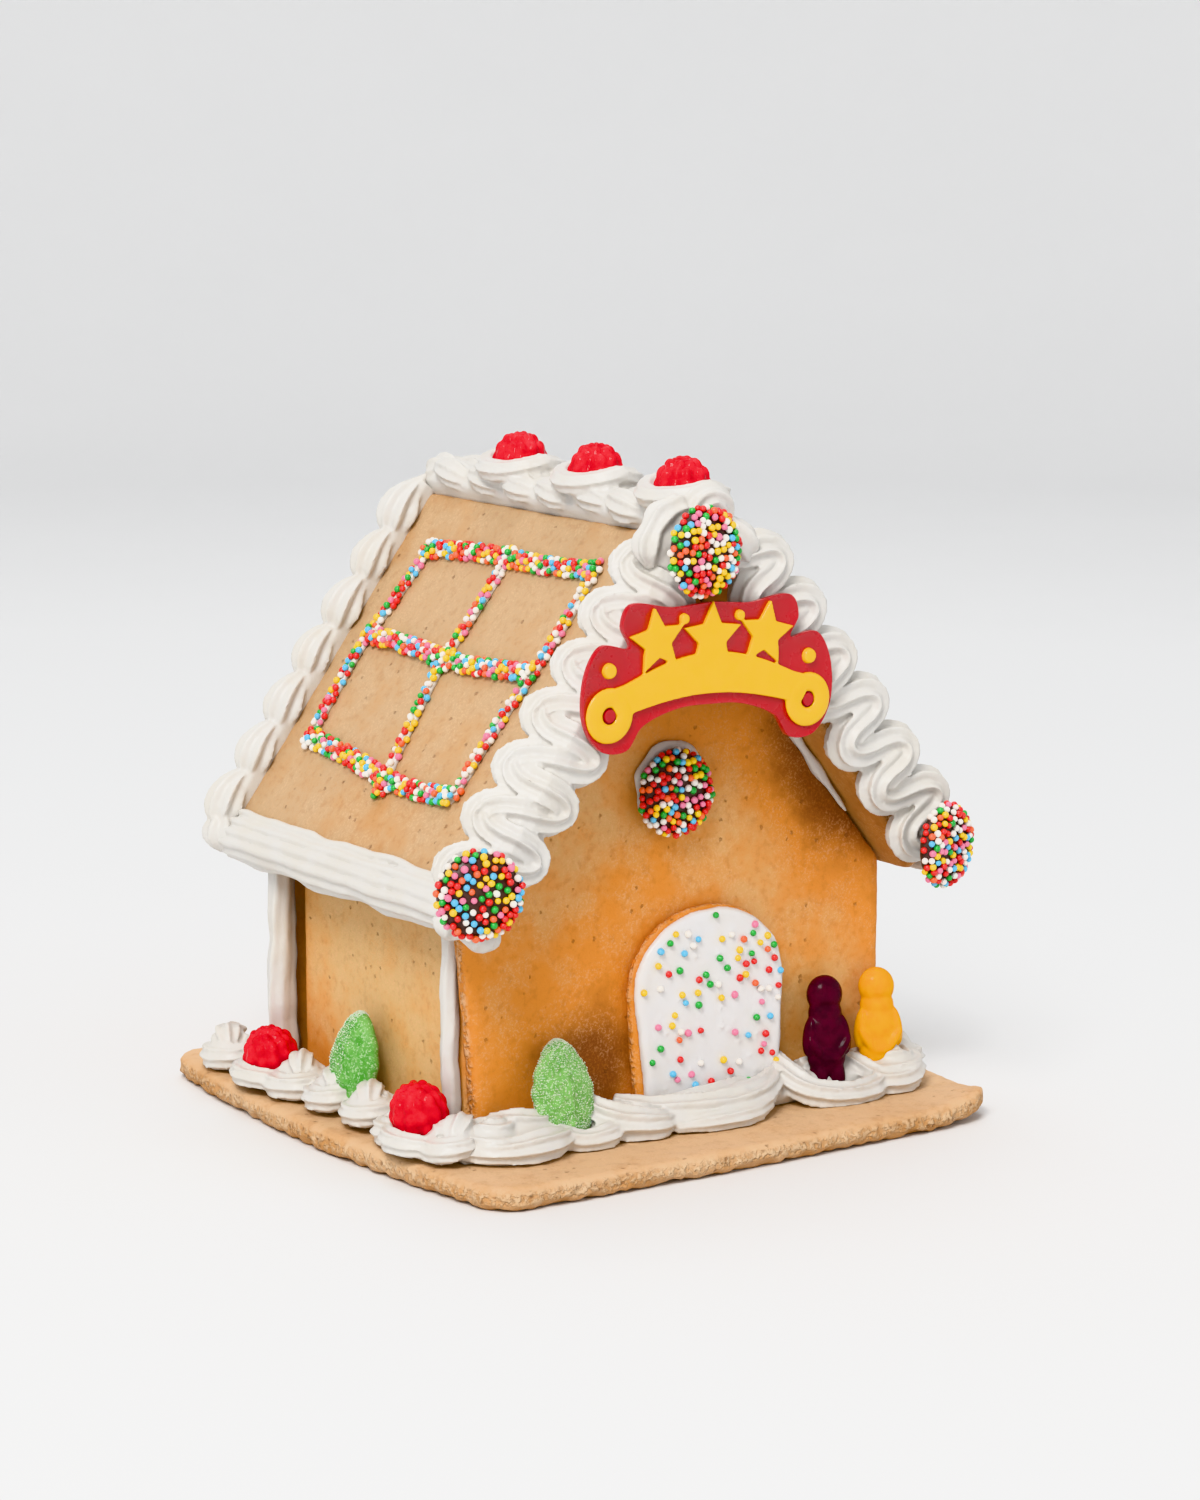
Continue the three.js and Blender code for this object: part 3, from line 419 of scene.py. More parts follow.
def crumb_group():
    """Baked crumb: mottled colour, fine grain, pores darkened with painted shade, flour and torn edges, with
    a mask of browning and painted shade.
    """
    if "baked_crumb" in bpy.data.node_groups:
        return bpy.data.node_groups["baked_crumb"]
    graph, given, out = group_tree(
        "baked_crumb",
        [
            ("Vector", "NodeSocketVector", None),
            ("Crumb", "NodeSocketColor", (0.6, 0.35, 0.15, 1)),
            ("Browned", "NodeSocketColor", (0.3, 0.12, 0.04, 1)),
            ("Burnt", "NodeSocketColor", (0.2, 0.07, 0.02, 1)),
            ("Flour", "NodeSocketColor", (0.85, 0.7, 0.5, 1)),
            ("Browning_and_shade", "NodeSocketFloat", 0.0),
            ("Pores", "NodeSocketFloat", 1.0),
            ("Torn", "NodeSocketFloat", 0.0),
        ],
        [("Colour", "NodeSocketColor"), ("Roughness", "NodeSocketFloat"), ("Height", "NodeSocketFloat")],
    )
    where = given.outputs["Vector"]
    mottle = graph.noise(where, 26, 4, 0.6)
    patch = graph.noise(where, 95, 3, 0.6)
    grain = graph.noise(where, 1300, 3, 0.75)
    pore_cells = graph.cells(where, 560)
    split = graph.add("ShaderNodeSeparateColor")
    graph.join(graph.cells(where, 560, output="Color"), split.inputs[0])
    share = graph.math("MULTIPLY", given.outputs["Pores"], 0.075)
    chosen = graph.math("LESS_THAN", split.outputs[0], share)
    ragged = graph.math("ADD", pore_cells, graph.band(grain, 0.3, 0.7, -0.14, 0.14))
    pore = graph.math("MULTIPLY", graph.band(ragged, 0.4, 0.16), chosen)
    # The browning and shade mask pushes the crumb towards the browned and burnt colours, so painted shade
    # takes these colours too.
    cast = graph.math("ADD", graph.band(mottle, 0.25, 0.78, -0.1, 0.13), given.outputs["Browning_and_shade"])
    cast = graph.math("ADD", cast, graph.band(patch, 0.3, 0.72, -0.07, 0.1))
    shade = graph.mix(graph.band(cast, 0.0, 0.62), given.outputs["Crumb"], given.outputs["Browned"])
    shade = graph.mix(graph.band(cast, 0.6, 1.35), shade, given.outputs["Burnt"])
    dusty = graph.math("MULTIPLY", graph.band(patch, 0.6, 0.42), graph.band(grain, 0.5, 0.62))
    light = graph.mix(graph.math("MULTIPLY", dusty, 0.22), shade, given.outputs["Flour"])
    grainy = graph.mix(graph.band(grain, 0.45, 0.68, 0.0, 0.25), light, given.outputs["Browned"])
    mid = graph.noise(where, 380, 3, 0.65)
    grainy = graph.mix(graph.band(mid, 0.5, 0.7, 0.0, 0.15), grainy, given.outputs["Burnt"])
    lump = graph.noise(where, 620, 2, 0.6)
    crumble = graph.math("MULTIPLY", graph.band(lump, 0.38, 0.62), given.outputs["Torn"])
    grainy = graph.mix(graph.math("MULTIPLY", crumble, 0.4), grainy, given.outputs["Flour"])
    # Pores are darkened towards deep brown as painted shade in the pits, more on the torn edges.
    depth = graph.math("ADD", 0.38, graph.math("MULTIPLY", given.outputs["Torn"], 0.16))
    pore_shade = graph.mix(graph.math("MULTIPLY", pore, depth), grainy, (0.22, 0.085, 0.03, 1))
    graph.join(pore_shade, out.inputs["Colour"])
    graph.join(graph.band(mottle, 0.3, 0.8, 0.58, 0.8), out.inputs["Roughness"])
    height = graph.math("MULTIPLY", grain, 0.4)
    height = graph.math("ADD", height, graph.math("MULTIPLY", patch, 0.5))
    height = graph.math("SUBTRACT", height, graph.math("MULTIPLY", pore, 0.9))
    height = graph.math("ADD", height, graph.math("MULTIPLY", crumble, 1.8))
    graph.join(height, out.inputs["Height"])
    return graph.tree


def whip_group():
    """Whipped icing: a faint change of tone and tiny air bubbles."""
    if "whipped_icing" in bpy.data.node_groups:
        return bpy.data.node_groups["whipped_icing"]
    graph, given, out = group_tree(
        "whipped_icing",
        [
            ("Vector", "NodeSocketVector", None),
            ("Tint", "NodeSocketColor", (0.9, 0.9, 0.88, 1)),
            ("Grain", "NodeSocketFloat", 900.0),
        ],
        [("Colour", "NodeSocketColor"), ("Height", "NodeSocketFloat")],
    )
    where = given.outputs["Vector"]
    soft = graph.noise(where, 70, 3)
    fine = graph.noise(where, given.outputs["Grain"], 2, 0.6)
    warm = graph.mix(1.0, given.outputs["Tint"], (0.985, 0.965, 0.93, 1), "MULTIPLY")
    graph.join(graph.mix(graph.band(soft, 0.35, 0.7), given.outputs["Tint"], warm), out.inputs["Colour"])
    graph.join(graph.math("ADD", graph.math("MULTIPLY", fine, 0.6), soft), out.inputs["Height"])
    return graph.tree


def new_material(name):
    found = bpy.data.materials.get(name)
    if found:
        return found, None, None, None
    made = bpy.data.materials.new(name)
    made.use_nodes = True
    graph = Graph(made.node_tree)
    made.node_tree.nodes.clear()
    shader = graph.add("ShaderNodeBsdfPrincipled")
    out = graph.add("ShaderNodeOutputMaterial")
    graph.join(shader.outputs[0], out.inputs[0])
    where = graph.add("ShaderNodeTexCoord").outputs["Object"]
    return made, graph, shader, where


def add_bump(graph, shader, height, strength, distance):
    bump = graph.add("ShaderNodeBump")
    bump.inputs["Strength"].default_value = strength
    bump.inputs["Distance"].default_value = distance
    graph.join(height, bump.inputs["Height"])
    graph.join(bump.outputs["Normal"], shader.inputs["Normal"])


def biscuit_material(name, crumb, browned, pores=1.0):
    made, graph, shader, where = new_material(name)
    if graph is None:
        return made
    crumbs = graph.add("ShaderNodeGroup", node_tree=crumb_group())
    graph.join(where, crumbs.inputs["Vector"])
    crumbs.inputs["Crumb"].default_value = crumb
    crumbs.inputs["Browned"].default_value = browned
    crumbs.inputs["Burnt"].default_value = colours().burnt
    crumbs.inputs["Flour"].default_value = colours().flour
    torn = graph.add("ShaderNodeAttribute", attribute_name="torn_edge")
    graph.join(graph.band(torn.outputs["Fac"], 0.2, 1, pores, pores * 9), crumbs.inputs["Pores"])
    graph.join(torn.outputs["Fac"], crumbs.inputs["Torn"])
    bake = graph.add("ShaderNodeAttribute", attribute_name="browning_and_shade")
    graph.join(bake.outputs["Fac"], crumbs.inputs["Browning_and_shade"])
    graph.join(crumbs.outputs["Colour"], shader.inputs["Base Color"])
    graph.join(crumbs.outputs["Roughness"], shader.inputs["Roughness"])
    shader.inputs["Specular IOR Level"].default_value = 0.35
    add_bump(graph, shader, crumbs.outputs["Height"], 0.7, 0.0006)
    return made


def icing_material(name, tint, roughness, coat, bump, grain=900.0):
    made, graph, shader, where = new_material(name)
    if graph is None:
        return made
    whip = graph.add("ShaderNodeGroup", node_tree=whip_group())
    graph.join(where, whip.inputs["Vector"])
    whip.inputs["Tint"].default_value = tint
    whip.inputs["Grain"].default_value = grain
    graph.join(whip.outputs["Colour"], shader.inputs["Base Color"])
    shader.inputs["Roughness"].default_value = roughness
    shader.inputs["Coat Weight"].default_value = coat
    shader.inputs["Coat Roughness"].default_value = 0.25
    shader.inputs["Subsurface Weight"].default_value = 0.08
    shader.inputs["Subsurface Radius"].default_value = (1.0, 0.9, 0.75)
    shader.inputs["Subsurface Scale"].default_value = 0.001
    add_bump(graph, shader, whip.outputs["Height"], bump, 0.0004)
    return made


def jelly_material(name, body, depth, roughness, frost, gloss=0.0):
    """Set jelly: deeper colour where it is thick, clouded by starch or fine sugar."""
    made, graph, shader, where = new_material(name)
    if graph is None:
        return made
    cloud = graph.noise(where, 260, 3)
    fine = graph.noise(where, 1400, 2, 0.7)
    tone = graph.mix(graph.band(cloud, 0.3, 0.7), body, depth)
    if frost:
        dusty = graph.math("MULTIPLY", graph.band(fine, 0.5, 0.68), frost)
        tone = graph.mix(dusty, tone, colours().sugar)
    graph.join(tone, shader.inputs["Base Color"])
    graph.join(graph.band(fine, 0.3, 0.7, roughness, min(1.0, roughness + 0.15)), shader.inputs["Roughness"])
    shader.inputs["Subsurface Weight"].default_value = 0.3
    shader.inputs["Subsurface Radius"].default_value = tuple(0.05 + c for c in body[:3])
    shader.inputs["Subsurface Scale"].default_value = 0.003
    shader.inputs["Specular IOR Level"].default_value = 0.08 + 0.1 * frost
    shader.inputs["Coat Weight"].default_value = gloss
    shader.inputs["Coat Roughness"].default_value = 0.06
    add_bump(graph, shader, fine, 0.15 + 0.4 * frost, 0.0003)
    return made


def sprinkle_material():
    made, graph, shader, where = new_material("sugar_sprinkles")
    if graph is None:
        return made
    tint = graph.add("ShaderNodeAttribute", attribute_name="sprinkle_colour")
    fine = graph.noise(where, 2200, 2)
    graph.join(
        graph.mix(graph.band(fine, 0.45, 0.8, 0.0, 0.12), tint.outputs["Color"], (0.9, 0.88, 0.85, 1)),
        shader.inputs["Base Color"],
    )
    shader.inputs["Roughness"].default_value = 0.38
    shader.inputs["Coat Weight"].default_value = 0.3
    shader.inputs["Coat Roughness"].default_value = 0.2
    add_bump(graph, shader, fine, 0.2, 0.0002)
    return made


def plain_material(name, colour, roughness, coat=0.0, scale=300.0, bump=0.1, subsurface=0.0, keep=0.82):
    """Moulded plastic, chocolate, sugar or studio card, with a slight change of tone."""
    made, graph, shader, where = new_material(name)
    if graph is None:
        return made
    soft = graph.noise(where, scale, 3)
    darker = tuple(c * keep for c in colour[:3]) + (1,)
    graph.join(graph.mix(graph.band(soft, 0.35, 0.7), colour, darker), shader.inputs["Base Color"])
    graph.join(graph.band(soft, 0.3, 0.7, roughness, min(1.0, roughness + 0.12)), shader.inputs["Roughness"])
    shader.inputs["Coat Weight"].default_value = coat
    shader.inputs["Subsurface Weight"].default_value = subsurface
    shader.inputs["Subsurface Scale"].default_value = 0.001
    add_bump(graph, shader, soft, bump, 0.0004)
    return made


# ------------------------------------------------------------------ baked panels


def baked_piece(name, outline, depth, edge, matrix, material, slot, browning_and_shade, waves=0.35, grain=0.12, seed=1,
                shape=None):
    """A rolled and baked slab: rounded edges, slight waves and a crust browned where it caught the heat; the
    given mask can also paint shade on it.
    """
    bm = bmesh.new()
    slab(bm, outline, depth, edge)
    piece = fuse(make_object(name, bm), sizes().crumb_detail, 5)
    points = vertex_array(piece.data)
    normals = normal_array(piece.data)
    side = 1 - np.clip(np.abs(normals[:, 2]) * 1.4, 0, 1)
    wave = rough_noise(points, 22 * MM, seed)
    crumb = rough_noise(points, 2.6 * MM, seed + 3)
    push = (waves * (wave - 0.5) * 0.5 + grain * (crumb - 0.4) * (1 + 2.2 * side)) * MM
    points = points + normals * push[:, None]
    rim = np.clip(1 - edge_distance(points, outline) / (7 * MM), 0, 1)
    # Edge browning plus the given mask, which on the front wall also holds painted shade.
    tone = np.clip(0.16 * rim + 0.2 * side + browning_and_shade(points), -0.6, 1.4)
    if shape is not None:
        points = shape(points)
    write_vertices(piece.data, points)
    write_value(piece.data, "browning_and_shade", tone)
    write_value(piece.data, "torn_edge", side)
    place_mesh(piece, matrix)
    return finish_piece(piece, material, slot, name)


def spot(points, x, y, radius, strength):
    """A soft browned patch on a panel; on the front wall several of these patches are painted shade."""
    away = np.hypot(points[:, 0] - x * MM, points[:, 1] - y * MM) / (radius * MM)
    return strength * np.exp(-away * away)


def board_outline():
    half_x, half_y, corner = 84.6 * MM, 90.1 * MM, 9 * MM
    outline = []
    for sx, sy, start in ((1, -1, -90), (1, 1, 0), (-1, 1, 90), (-1, -1, 180)):
        for k in range(7):
            a = math.radians(start + 15 * k)
            x = sx * (half_x - corner) + corner * math.cos(a)
            outline.append((x, sy * (half_y - corner) + corner * math.sin(a)))
        x, y = outline[-1]
        end = (-sx * (half_x - corner), y) if sx == sy else (x, -sy * (half_y - corner))
        for k in range(1, 12):
            outline.append((x + (end[0] - x) * k / 12, y + (end[1] - y) * k / 12))
    bulged = []
    for x, y in outline:
        wave = 1 + 0.006 * noise.noise(Vector((x, y, 0)) / (24 * MM))
        bulged.append((
            x * (1 + 0.1 * (1 - (y / half_y) ** 2)) * wave,
            y * (1 + 0.03 * (1 - (x / half_x) ** 2)) * wave,
        ))
    return bulged


def lift_corner(points):
    """The front right corner curls up, and the lower half of the edge is torn and crumbly."""
    away = np.hypot(points[:, 0] - 85 * MM, points[:, 1] + 90.5 * MM) / (24 * MM)
    points[:, 2] += 4.4 * MM * np.clip(1 - away, 0, 1) ** 2
    ragged = np.clip(rough_noise(points, 4.4 * MM, 4) * 1.5 + 0.3, 0, 1)
    ragged = ragged * np.clip(1 - points[:, 2] / (3 * MM), 0, 1)
    rim = np.clip(1 - edge_distance(points, board_outline()) / (4 * MM), 0, 1)
    points[:, 2] += 2.8 * MM * ragged * rim
    return points


def gable_outline(foot_left):
    """Half the outline of a gable wall, cut to fit under both roof panels."""

    def under(x):
        side = LEFT if x < RIDGE.x else RIGHT
        angle = pitch(side)
        return RIDGE.z - abs(x - RIDGE.x) * math.tan(angle) - (PANEL_THICK + GLUE_GAP) / math.cos(angle)

    half = 71.6 * MM
    foot = BOARD_TOP + GLUE_GAP
    return [
        (-foot_left, foot),
        (half, foot),
        (half, under(half)),
        (RIDGE.x, under(RIDGE.x) - 0.8 * MM),
        (-half, under(-half)),
        (-half, foot + 56 * MM),
    ]


class BakeBoard(bpy.types.Operator):
    """Bake the board that the house stands on"""

    bl_idname = "gingerbread.bake_board"
    bl_label = "Board"

    def execute(self, context):
        look = biscuit_material("board_biscuit", colours().board, colours().biscuit_dark, 0.5)

        def browning_and_shade(points):
            low = np.clip(1 - points[:, 2] / (3.5 * MM), 0, 1)
            return 0.35 * low + 0.02

        baked_piece("board", board_outline(), BOARD_TOP, 2.1 * MM, Matrix(), look, "gingerbread", browning_and_shade,
                    waves=0.5, grain=0.3, seed=2, shape=lift_corner)
        return {"FINISHED"}


# Patches of the front wall: place across and up, radius, and how much browner than the rest. The strongest
# are painted shade: under the right roof edge, under the peak and low beside the door where the front leaf
# stands; the others are uneven baking, and negative ones are lighter.
FRONT_BROWNING_AND_SHADE_PATCHES = [
    (-30, 24, 18, 1.0),
    (58, 90, 20, 0.85),
    (50, 62, 20, 0.12),
    (42, 110, 17, 0.75),
    (0, 150, 34, 0.3),
    (30, 80, 24, -0.2),
    (-26, 60, 16, 0.15),
    (-36, 92, 26, -0.15),
    (52, 30, 24, -0.3),
]


class BakeWalls(bpy.types.Operator):
    """Bake the two gable walls and the two side walls"""

    bl_idname = "gingerbread.bake_walls"
    bl_label = "Walls"

    def execute(self, context):
        look = biscuit_material("wall_biscuit", colours().wall, colours().wall_dark, 0.35)

        def front_browning_and_shade(points):
            # These patches paint shade under the right roof edge, under the peak and beside the door.
            return 0.42 + sum(spot(points, *patch) for patch in FRONT_BROWNING_AND_SHADE_PATCHES)

        def back_browning(points):
            return 0.4 + spot(points, 0, 120, 50, 0.3) + spot(points, -40, 30, 30, 0.3)

        def side_browning(points):
            return 0.14 + spot(points, 40, 12, 24, 0.25) - spot(points, 0, 45, 26, 0.12)

        upright = Matrix.Rotation(math.pi / 2, 4, "X")
        front = Matrix.Translation((0, FRONT_FACE + WALL_THICK, 0)) @ upright
        back = Matrix.Translation((0, BACK_FACE, 0)) @ upright
        baked_piece("wall_front", gable_outline(66.5 * MM), WALL_THICK, 1.2 * MM, front, look, "wall",
                    front_browning_and_shade, seed=3)
        baked_piece("wall_back", gable_outline(70.6 * MM), WALL_THICK, 1.2 * MM, back, look, "wall",
                    back_browning, seed=4)
        for side in (LEFT, RIGHT):
            low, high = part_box(f"wall_{SIDE_NAME[side]}")
            outline = [(low[1], low[2]), (high[1], low[2]), (high[1], high[2]), (low[1], high[2])]
            turn = Matrix.Rotation(math.pi / 2, 4, "Z") @ upright
            place = Matrix.Translation((low[0], 0, 0)) @ turn
            baked_piece(f"wall_{SIDE_NAME[side]}", outline, WALL_THICK, 1.2 * MM, place, look, "wall",
                        side_browning, seed=5 + side)
        return {"FINISHED"}


def panel_outline(side):
    length, corner = PANEL_LENGTH[side], 8 * MM
    outline = [(PANEL_TOP, PANEL_FRONT)]
    for cy, start in ((PANEL_FRONT + corner, -90), (PANEL_BACK - corner, 0)):
        for k in range(6):
            a = math.radians(start + 18 * k)
            outline.append((length - corner + corner * math.cos(a), cy + corner * math.sin(a)))
    outline.append((PANEL_TOP, PANEL_BACK))
    return outline


class BakeRoof(bpy.types.Operator):
    """Bake the two roof panels"""

    bl_idname = "gingerbread.bake_roof"
    bl_label = "Roof"

    def execute(self, context):
        look = biscuit_material("roof_biscuit", colours().biscuit, colours().biscuit_dark, 0.4)

        def browning_and_shade(points):
            z = points[:, 2]
            under = np.clip(-z / PANEL_THICK, 0, 1)
            return 0.6 * under + 0.04 + spot(points, 112, 0, 26, 0.2) - spot(points, 30, 0, 30, 0.08)

        for side in (LEFT, RIGHT):
            down = Matrix.Translation((0, 0, -PANEL_THICK))
            baked_piece(f"roof_{SIDE_NAME[side]}", panel_outline(side), PANEL_THICK, 1.5 * MM,
                        slope(side) @ down, look, "gingerbread", lambda p: browning_and_shade(p - [0, 0, PANEL_THICK]),
                        seed=8 + side)
        return {"FINISHED"}


def arch_outline(inset, left_foot=0.89):
    half = 26.4 * MM - inset
    top = 67 * MM - inset
    spring = top - half * 0.86
    foot = BOARD_TOP + GLUE_GAP + inset
    outline = [(half * 0.89, foot), (half * 0.965, foot + (spring - foot) * 0.5)]
    for k in range(25):
        a = math.pi * k / 24
        outline.append((half * math.cos(a), spring + (top - spring) * math.sin(a)))
    outline += [(-half * (1.02 + left_foot) / 2, foot + (spring - foot) * 0.5), (-half * left_foot, foot)]
    return outline


def flood_door(centre, upright):
    """Floods the door with glaze: small blisters, a raised lip and a wavy edge that sinks to the rim."""
    rng = random.Random(sizes().seed)
    low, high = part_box("door_icing")
    bm = bmesh.new()
    edge = arch_outline(0.7 * MM, 0.82)
    slab(bm, edge, high[1] - low[1], 0.75 * MM, 4)
    top = high[1] - low[1]
    for _ in range(34):
        x = rng.uniform(low[0] + 5 * MM, high[0] - 5 * MM) - centre
        z = rng.uniform(low[2] + 6 * MM, high[2] - 8 * MM)
        size = rng.uniform(0.6, 1.0) * MM
        flat = Matrix.Translation((x, z, top - 0.15 * MM)) @ Matrix.Diagonal((1, 1, 0.55, 1))
        bmesh.ops.create_icosphere(bm, subdivisions=2, radius=size, matrix=flat)
    piece = fuse(make_object("door_icing", bm), 0.5 * MM, 4)
    points = vertex_array(piece.data)
    rim = edge_distance(points, edge)
    raised = points[:, 2] > top * 0.5
    ripple = rough_noise(points, 5 * MM, 5) * 0.1 * MM
    lip = np.exp(-((rim - 2 * MM) / (1.6 * MM)) ** 2) * 0.16 * MM
    points[:, 2] += np.where(raised, ripple + lip, 0) - 0.9 * MM * np.exp(-rim / (0.8 * MM))
    edge_wave = rough_noise(points, 7 * MM, 9)
    outward = points[:, :2] - np.array([0, 36 * MM])
    outward /= np.maximum(np.hypot(*outward.T), 1e-6)[:, None]
    near = np.exp(-rim / (1.2 * MM))
    points[:, :2] += outward * (near * edge_wave * 0.8 * MM)[:, None]
    write_vertices(piece.data, points)
    place_mesh(piece, Matrix.Translation((centre, high[1], 0)) @ upright)
    glaze = icing_material("door_glaze", colours().glaze, 0.26, 0.35, 0.12, 500.0)
    finish_piece(piece, glaze, "door_icing", "door_icing")


class BakeDoor(bpy.types.Operator):
    """Bake the arched door and flood it with icing"""

    bl_idname = "gingerbread.bake_door"
    bl_label = "Door"

    def execute(self, context):
        look = biscuit_material("door_biscuit", colours().wall, colours().wall_dark, 0.5)
        upright = Matrix.Rotation(math.pi / 2, 4, "X")
        low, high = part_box("door_biscuit")
        centre = (low[0] + high[0]) / 2
        place = Matrix.Translation((centre, high[1], 0)) @ upright
        baked_piece("door_biscuit", arch_outline(0), high[1] - low[1], 1.6 * MM, place, look, "gingerbread",
                    lambda p: np.full(len(p), 0.5), seed=12)
        flood_door(centre, upright)
        return {"FINISHED"}


# ------------------------------------------------------------------ piped icing


def piped(name, bm, slot, *nodes, softening=3, grid=None, wobble=0.25, seed=1, place=None):
    piece = fuse(make_object(name, bm), grid or sizes().icing_detail, softening)
    points = vertex_array(piece.data)
    normals = normal_array(piece.data)
    push = rough_noise(points, 6 * MM, seed) * wobble * MM
    push = push + rough_noise(points, 1.8 * MM, seed + 2) * 0.06 * MM
    write_vertices(piece.data, points + normals * (push - 0.1 * MM)[:, None])
    if place is not None:
        place_mesh(piece, place)
    look = icing_material("piped_icing", colours().icing, 0.42, 0.08, 0.22)
    return finish_piece(piece, look, slot, *nodes)


def zigzag(side, period, centre, reach, first, last):
    """Points of a ribbon-candy zigzag down a gable edge, in the roof panel's frame."""
    angle = pitch(side)
    steps = int((last - first) / period * 26)
    points = []
    for i in range(steps + 1):
        along = first + (last - first) * i / steps
        phase = 2 * math.pi * (along - first) / period
        limit = (6.2 * MM - along * math.cos(angle)) / math.sin(angle)
        low, high = max(centre - reach, limit), centre + reach
        v = (low + high) / 2 - (high - low) / 2 * math.cos(phase)
        u = along + 0.05 * period * math.sin(2 * phase) - 1.6 * MM * math.cos(phase)
        lay = 0.7 * MM * math.sin(phase + 0.6)
        fold = max(0, v - 2 * MM) if side == LEFT else 0
        points.append(Vector((u, ROPE_PLANE + lay + 1.15 * fold, v - 0.33 * fold)))
    return points


class PipeGables(bpy.types.Operator):
    """Pipe the zigzag ropes along both gable edges"""

    bl_idname = "gingerbread.pipe_gables"
    bl_label = "Gable icing"

    def execute(self, context):
        rope = sizes().gable_rope
        plans = {LEFT: (15.9, 2.0, 8.8, 13.5, 126), RIGHT: (18.2, 1.4, 7.2, 13, 133)}
        for side, plan in plans.items():
            points = zigzag(side, *(measure * MM for measure in plan))
            count = len(points)
            radii = []
            for i in range(count):
                ends = min(1, 0.35 + 0.65 * min(i, count - 1 - i) / 9)
                radii.append(rope * ends * (1 + 0.05 * math.sin(i * 0.37)))
            bm = bmesh.new()
            pipe(bm, strand(points, radii, front_axis(), 0.92), lobes=8, ridge=0.19)
            if side == LEFT:
                for tip in ((135, -71, -6.5), (134, -65, -9), (135, -60, -4)):
                    start = Vector((tip[0] - 11, tip[1] + 1, tip[2] + 4)) * MM
                    shell(bm, start, Vector(tip) * MM, 6.2 * MM, front_axis(), lobes=7, ridge=0.13)
            piped(f"gable_icing_{SIDE_NAME[side]}", bm, "icing", f"gable_icing_{SIDE_NAME[side]}",
                  softening=2, grid=0.5 * MM, seed=20 + side, place=slope(side))
        return {"FINISHED"}


def shell(bm, tail, head, radius, up, lobes=8, sway=0.0, flat=0.9, ridge=0.12):
    """One piped shell: it swells at the head and is pulled out to a tail."""
    run = head - tail
    side = up.cross(run).normalized()
    points, radii = [], []
    for i in range(15):
        t = i / 14
        arch = math.sin(math.pi * t) * 0.12 * run.length
        points.append(tail + run * t + up * arch + side * math.sin(math.pi * t) * sway)
        radii.append(radius * max(0.06, (0.16 + 0.84 * math.sin(math.pi * t**1.55) ** 0.8)))
    pipe(bm, strand(points, radii, up, flat), lobes=lobes, ridge=ridge)


class PipeVerges(bpy.types.Operator):
    """Pipe overlapping shells down the back edges of the roof"""

    bl_idname = "gingerbread.pipe_verges"
    bl_label = "Verge icing"

    def execute(self, context):
        up = up_axis()
        for side in (LEFT, RIGHT):
            rng = random.Random(sizes().seed + side)
            bm = bmesh.new()
            length = PANEL_LENGTH[side]
            count = 7
            spacing = (length - 12 * MM) / count
            edge = []
            for i in range(31):
                along = (8 + (length / MM - 8) * i / 30) * MM
                edge.append(Vector((along, PANEL_BACK - 0.5 * MM, 1.2 * MM)))
            pipe(bm, strand(edge, [4.2 * MM] * 31, up), lobes=5, ridge=0.06)
            for k in range(count):
                u = 5 * MM + spacing * k
                y = PANEL_BACK + rng.uniform(-0.9, 0.1) * MM
                tail = Vector((u, y - 0.8 * MM, 2.6 * MM))
                head = Vector((u + spacing * 1.34, y + 0.4 * MM, 1.2 * MM))
                shell(bm, tail, head, rng.uniform(6.7, 7.4) * MM, up, lobes=7,
                      sway=rng.uniform(-0.8, 0.8) * MM, ridge=0.17)
            drop = Vector((length - 0.5 * MM, PANEL_BACK - 1.5 * MM, -1 * MM))
            tail, head = drop + Vector((-9, 1, 3)) * MM, drop + Vector((4, 0, -2)) * MM
            shell(bm, tail, head, 7 * MM, up, lobes=7, ridge=0.15)
            piped(f"verge_icing_{SIDE_NAME[side]}", bm, "icing", f"verge_icing_{SIDE_NAME[side]}",
                  seed=30 + side, place=slope(side))
        return {"FINISHED"}


class PipeEaves(bpy.types.Operator):
    """Pipe the ridged ribbons along the eaves"""

    bl_idname = "gingerbread.pipe_eaves"
    bl_label = "Eave icing"

    def execute(self, context):
        for side in (LEFT, RIGHT):
            length = PANEL_LENGTH[side]
            bm = bmesh.new()
            lines = [(-8.4, 1.0, 1.5), (-5.3, 1.9, 1.6), (-2.1, 2.1, 1.65), (0.9, 1.1, 1.65)]
            if side == LEFT:
                lines += [(2.4, -1.9, 1.8), (2.6, -4.9, 1.7)]
            else:
                lines += [(1.2, -1.6, 1.6)]
            for k, (du, v, r) in enumerate(lines):
                points, radii = [], []
                for i in range(46):
                    t = i / 45
                    y = (PANEL_FRONT + 1.5 * MM) + (PANEL_BACK - PANEL_FRONT - 2.5 * MM) * t
                    wave = noise.noise(Vector((y / (17 * MM), k * 0.35, side * 3.0)))
                    droop = noise.noise(Vector((y / (9 * MM), 4.0, k * 0.2)))
                    spread = wave * (1.4 if k in (0, len(lines) - 1) else 0.6) * MM
                    points.append(Vector((length + du * MM + spread, y, v * MM + droop * 0.2 * MM)))
                    radii.append(r * MM * (1 + 0.07 * droop) * (0.6 + 0.4 * ease(min(t, 1 - t) * 18)))
                pipe(bm, strand(points, radii, up_axis()), lobes=4, ridge=0.03)
            core = [Vector((length - 4 * MM, y * MM, 0.2 * MM)) for y in range(-62, 61, 4)]
            pipe(bm, strand(core, [5.2 * MM] * len(core), up_axis(), 0.28), lobes=4, ridge=0)
            piped(f"eave_icing_{SIDE_NAME[side]}", bm, "icing", f"eave_icing_{SIDE_NAME[side]}",
                  softening=1, grid=0.45 * MM, wobble=0.22, seed=40 + side, place=slope(side))
        return {"FINISHED"}


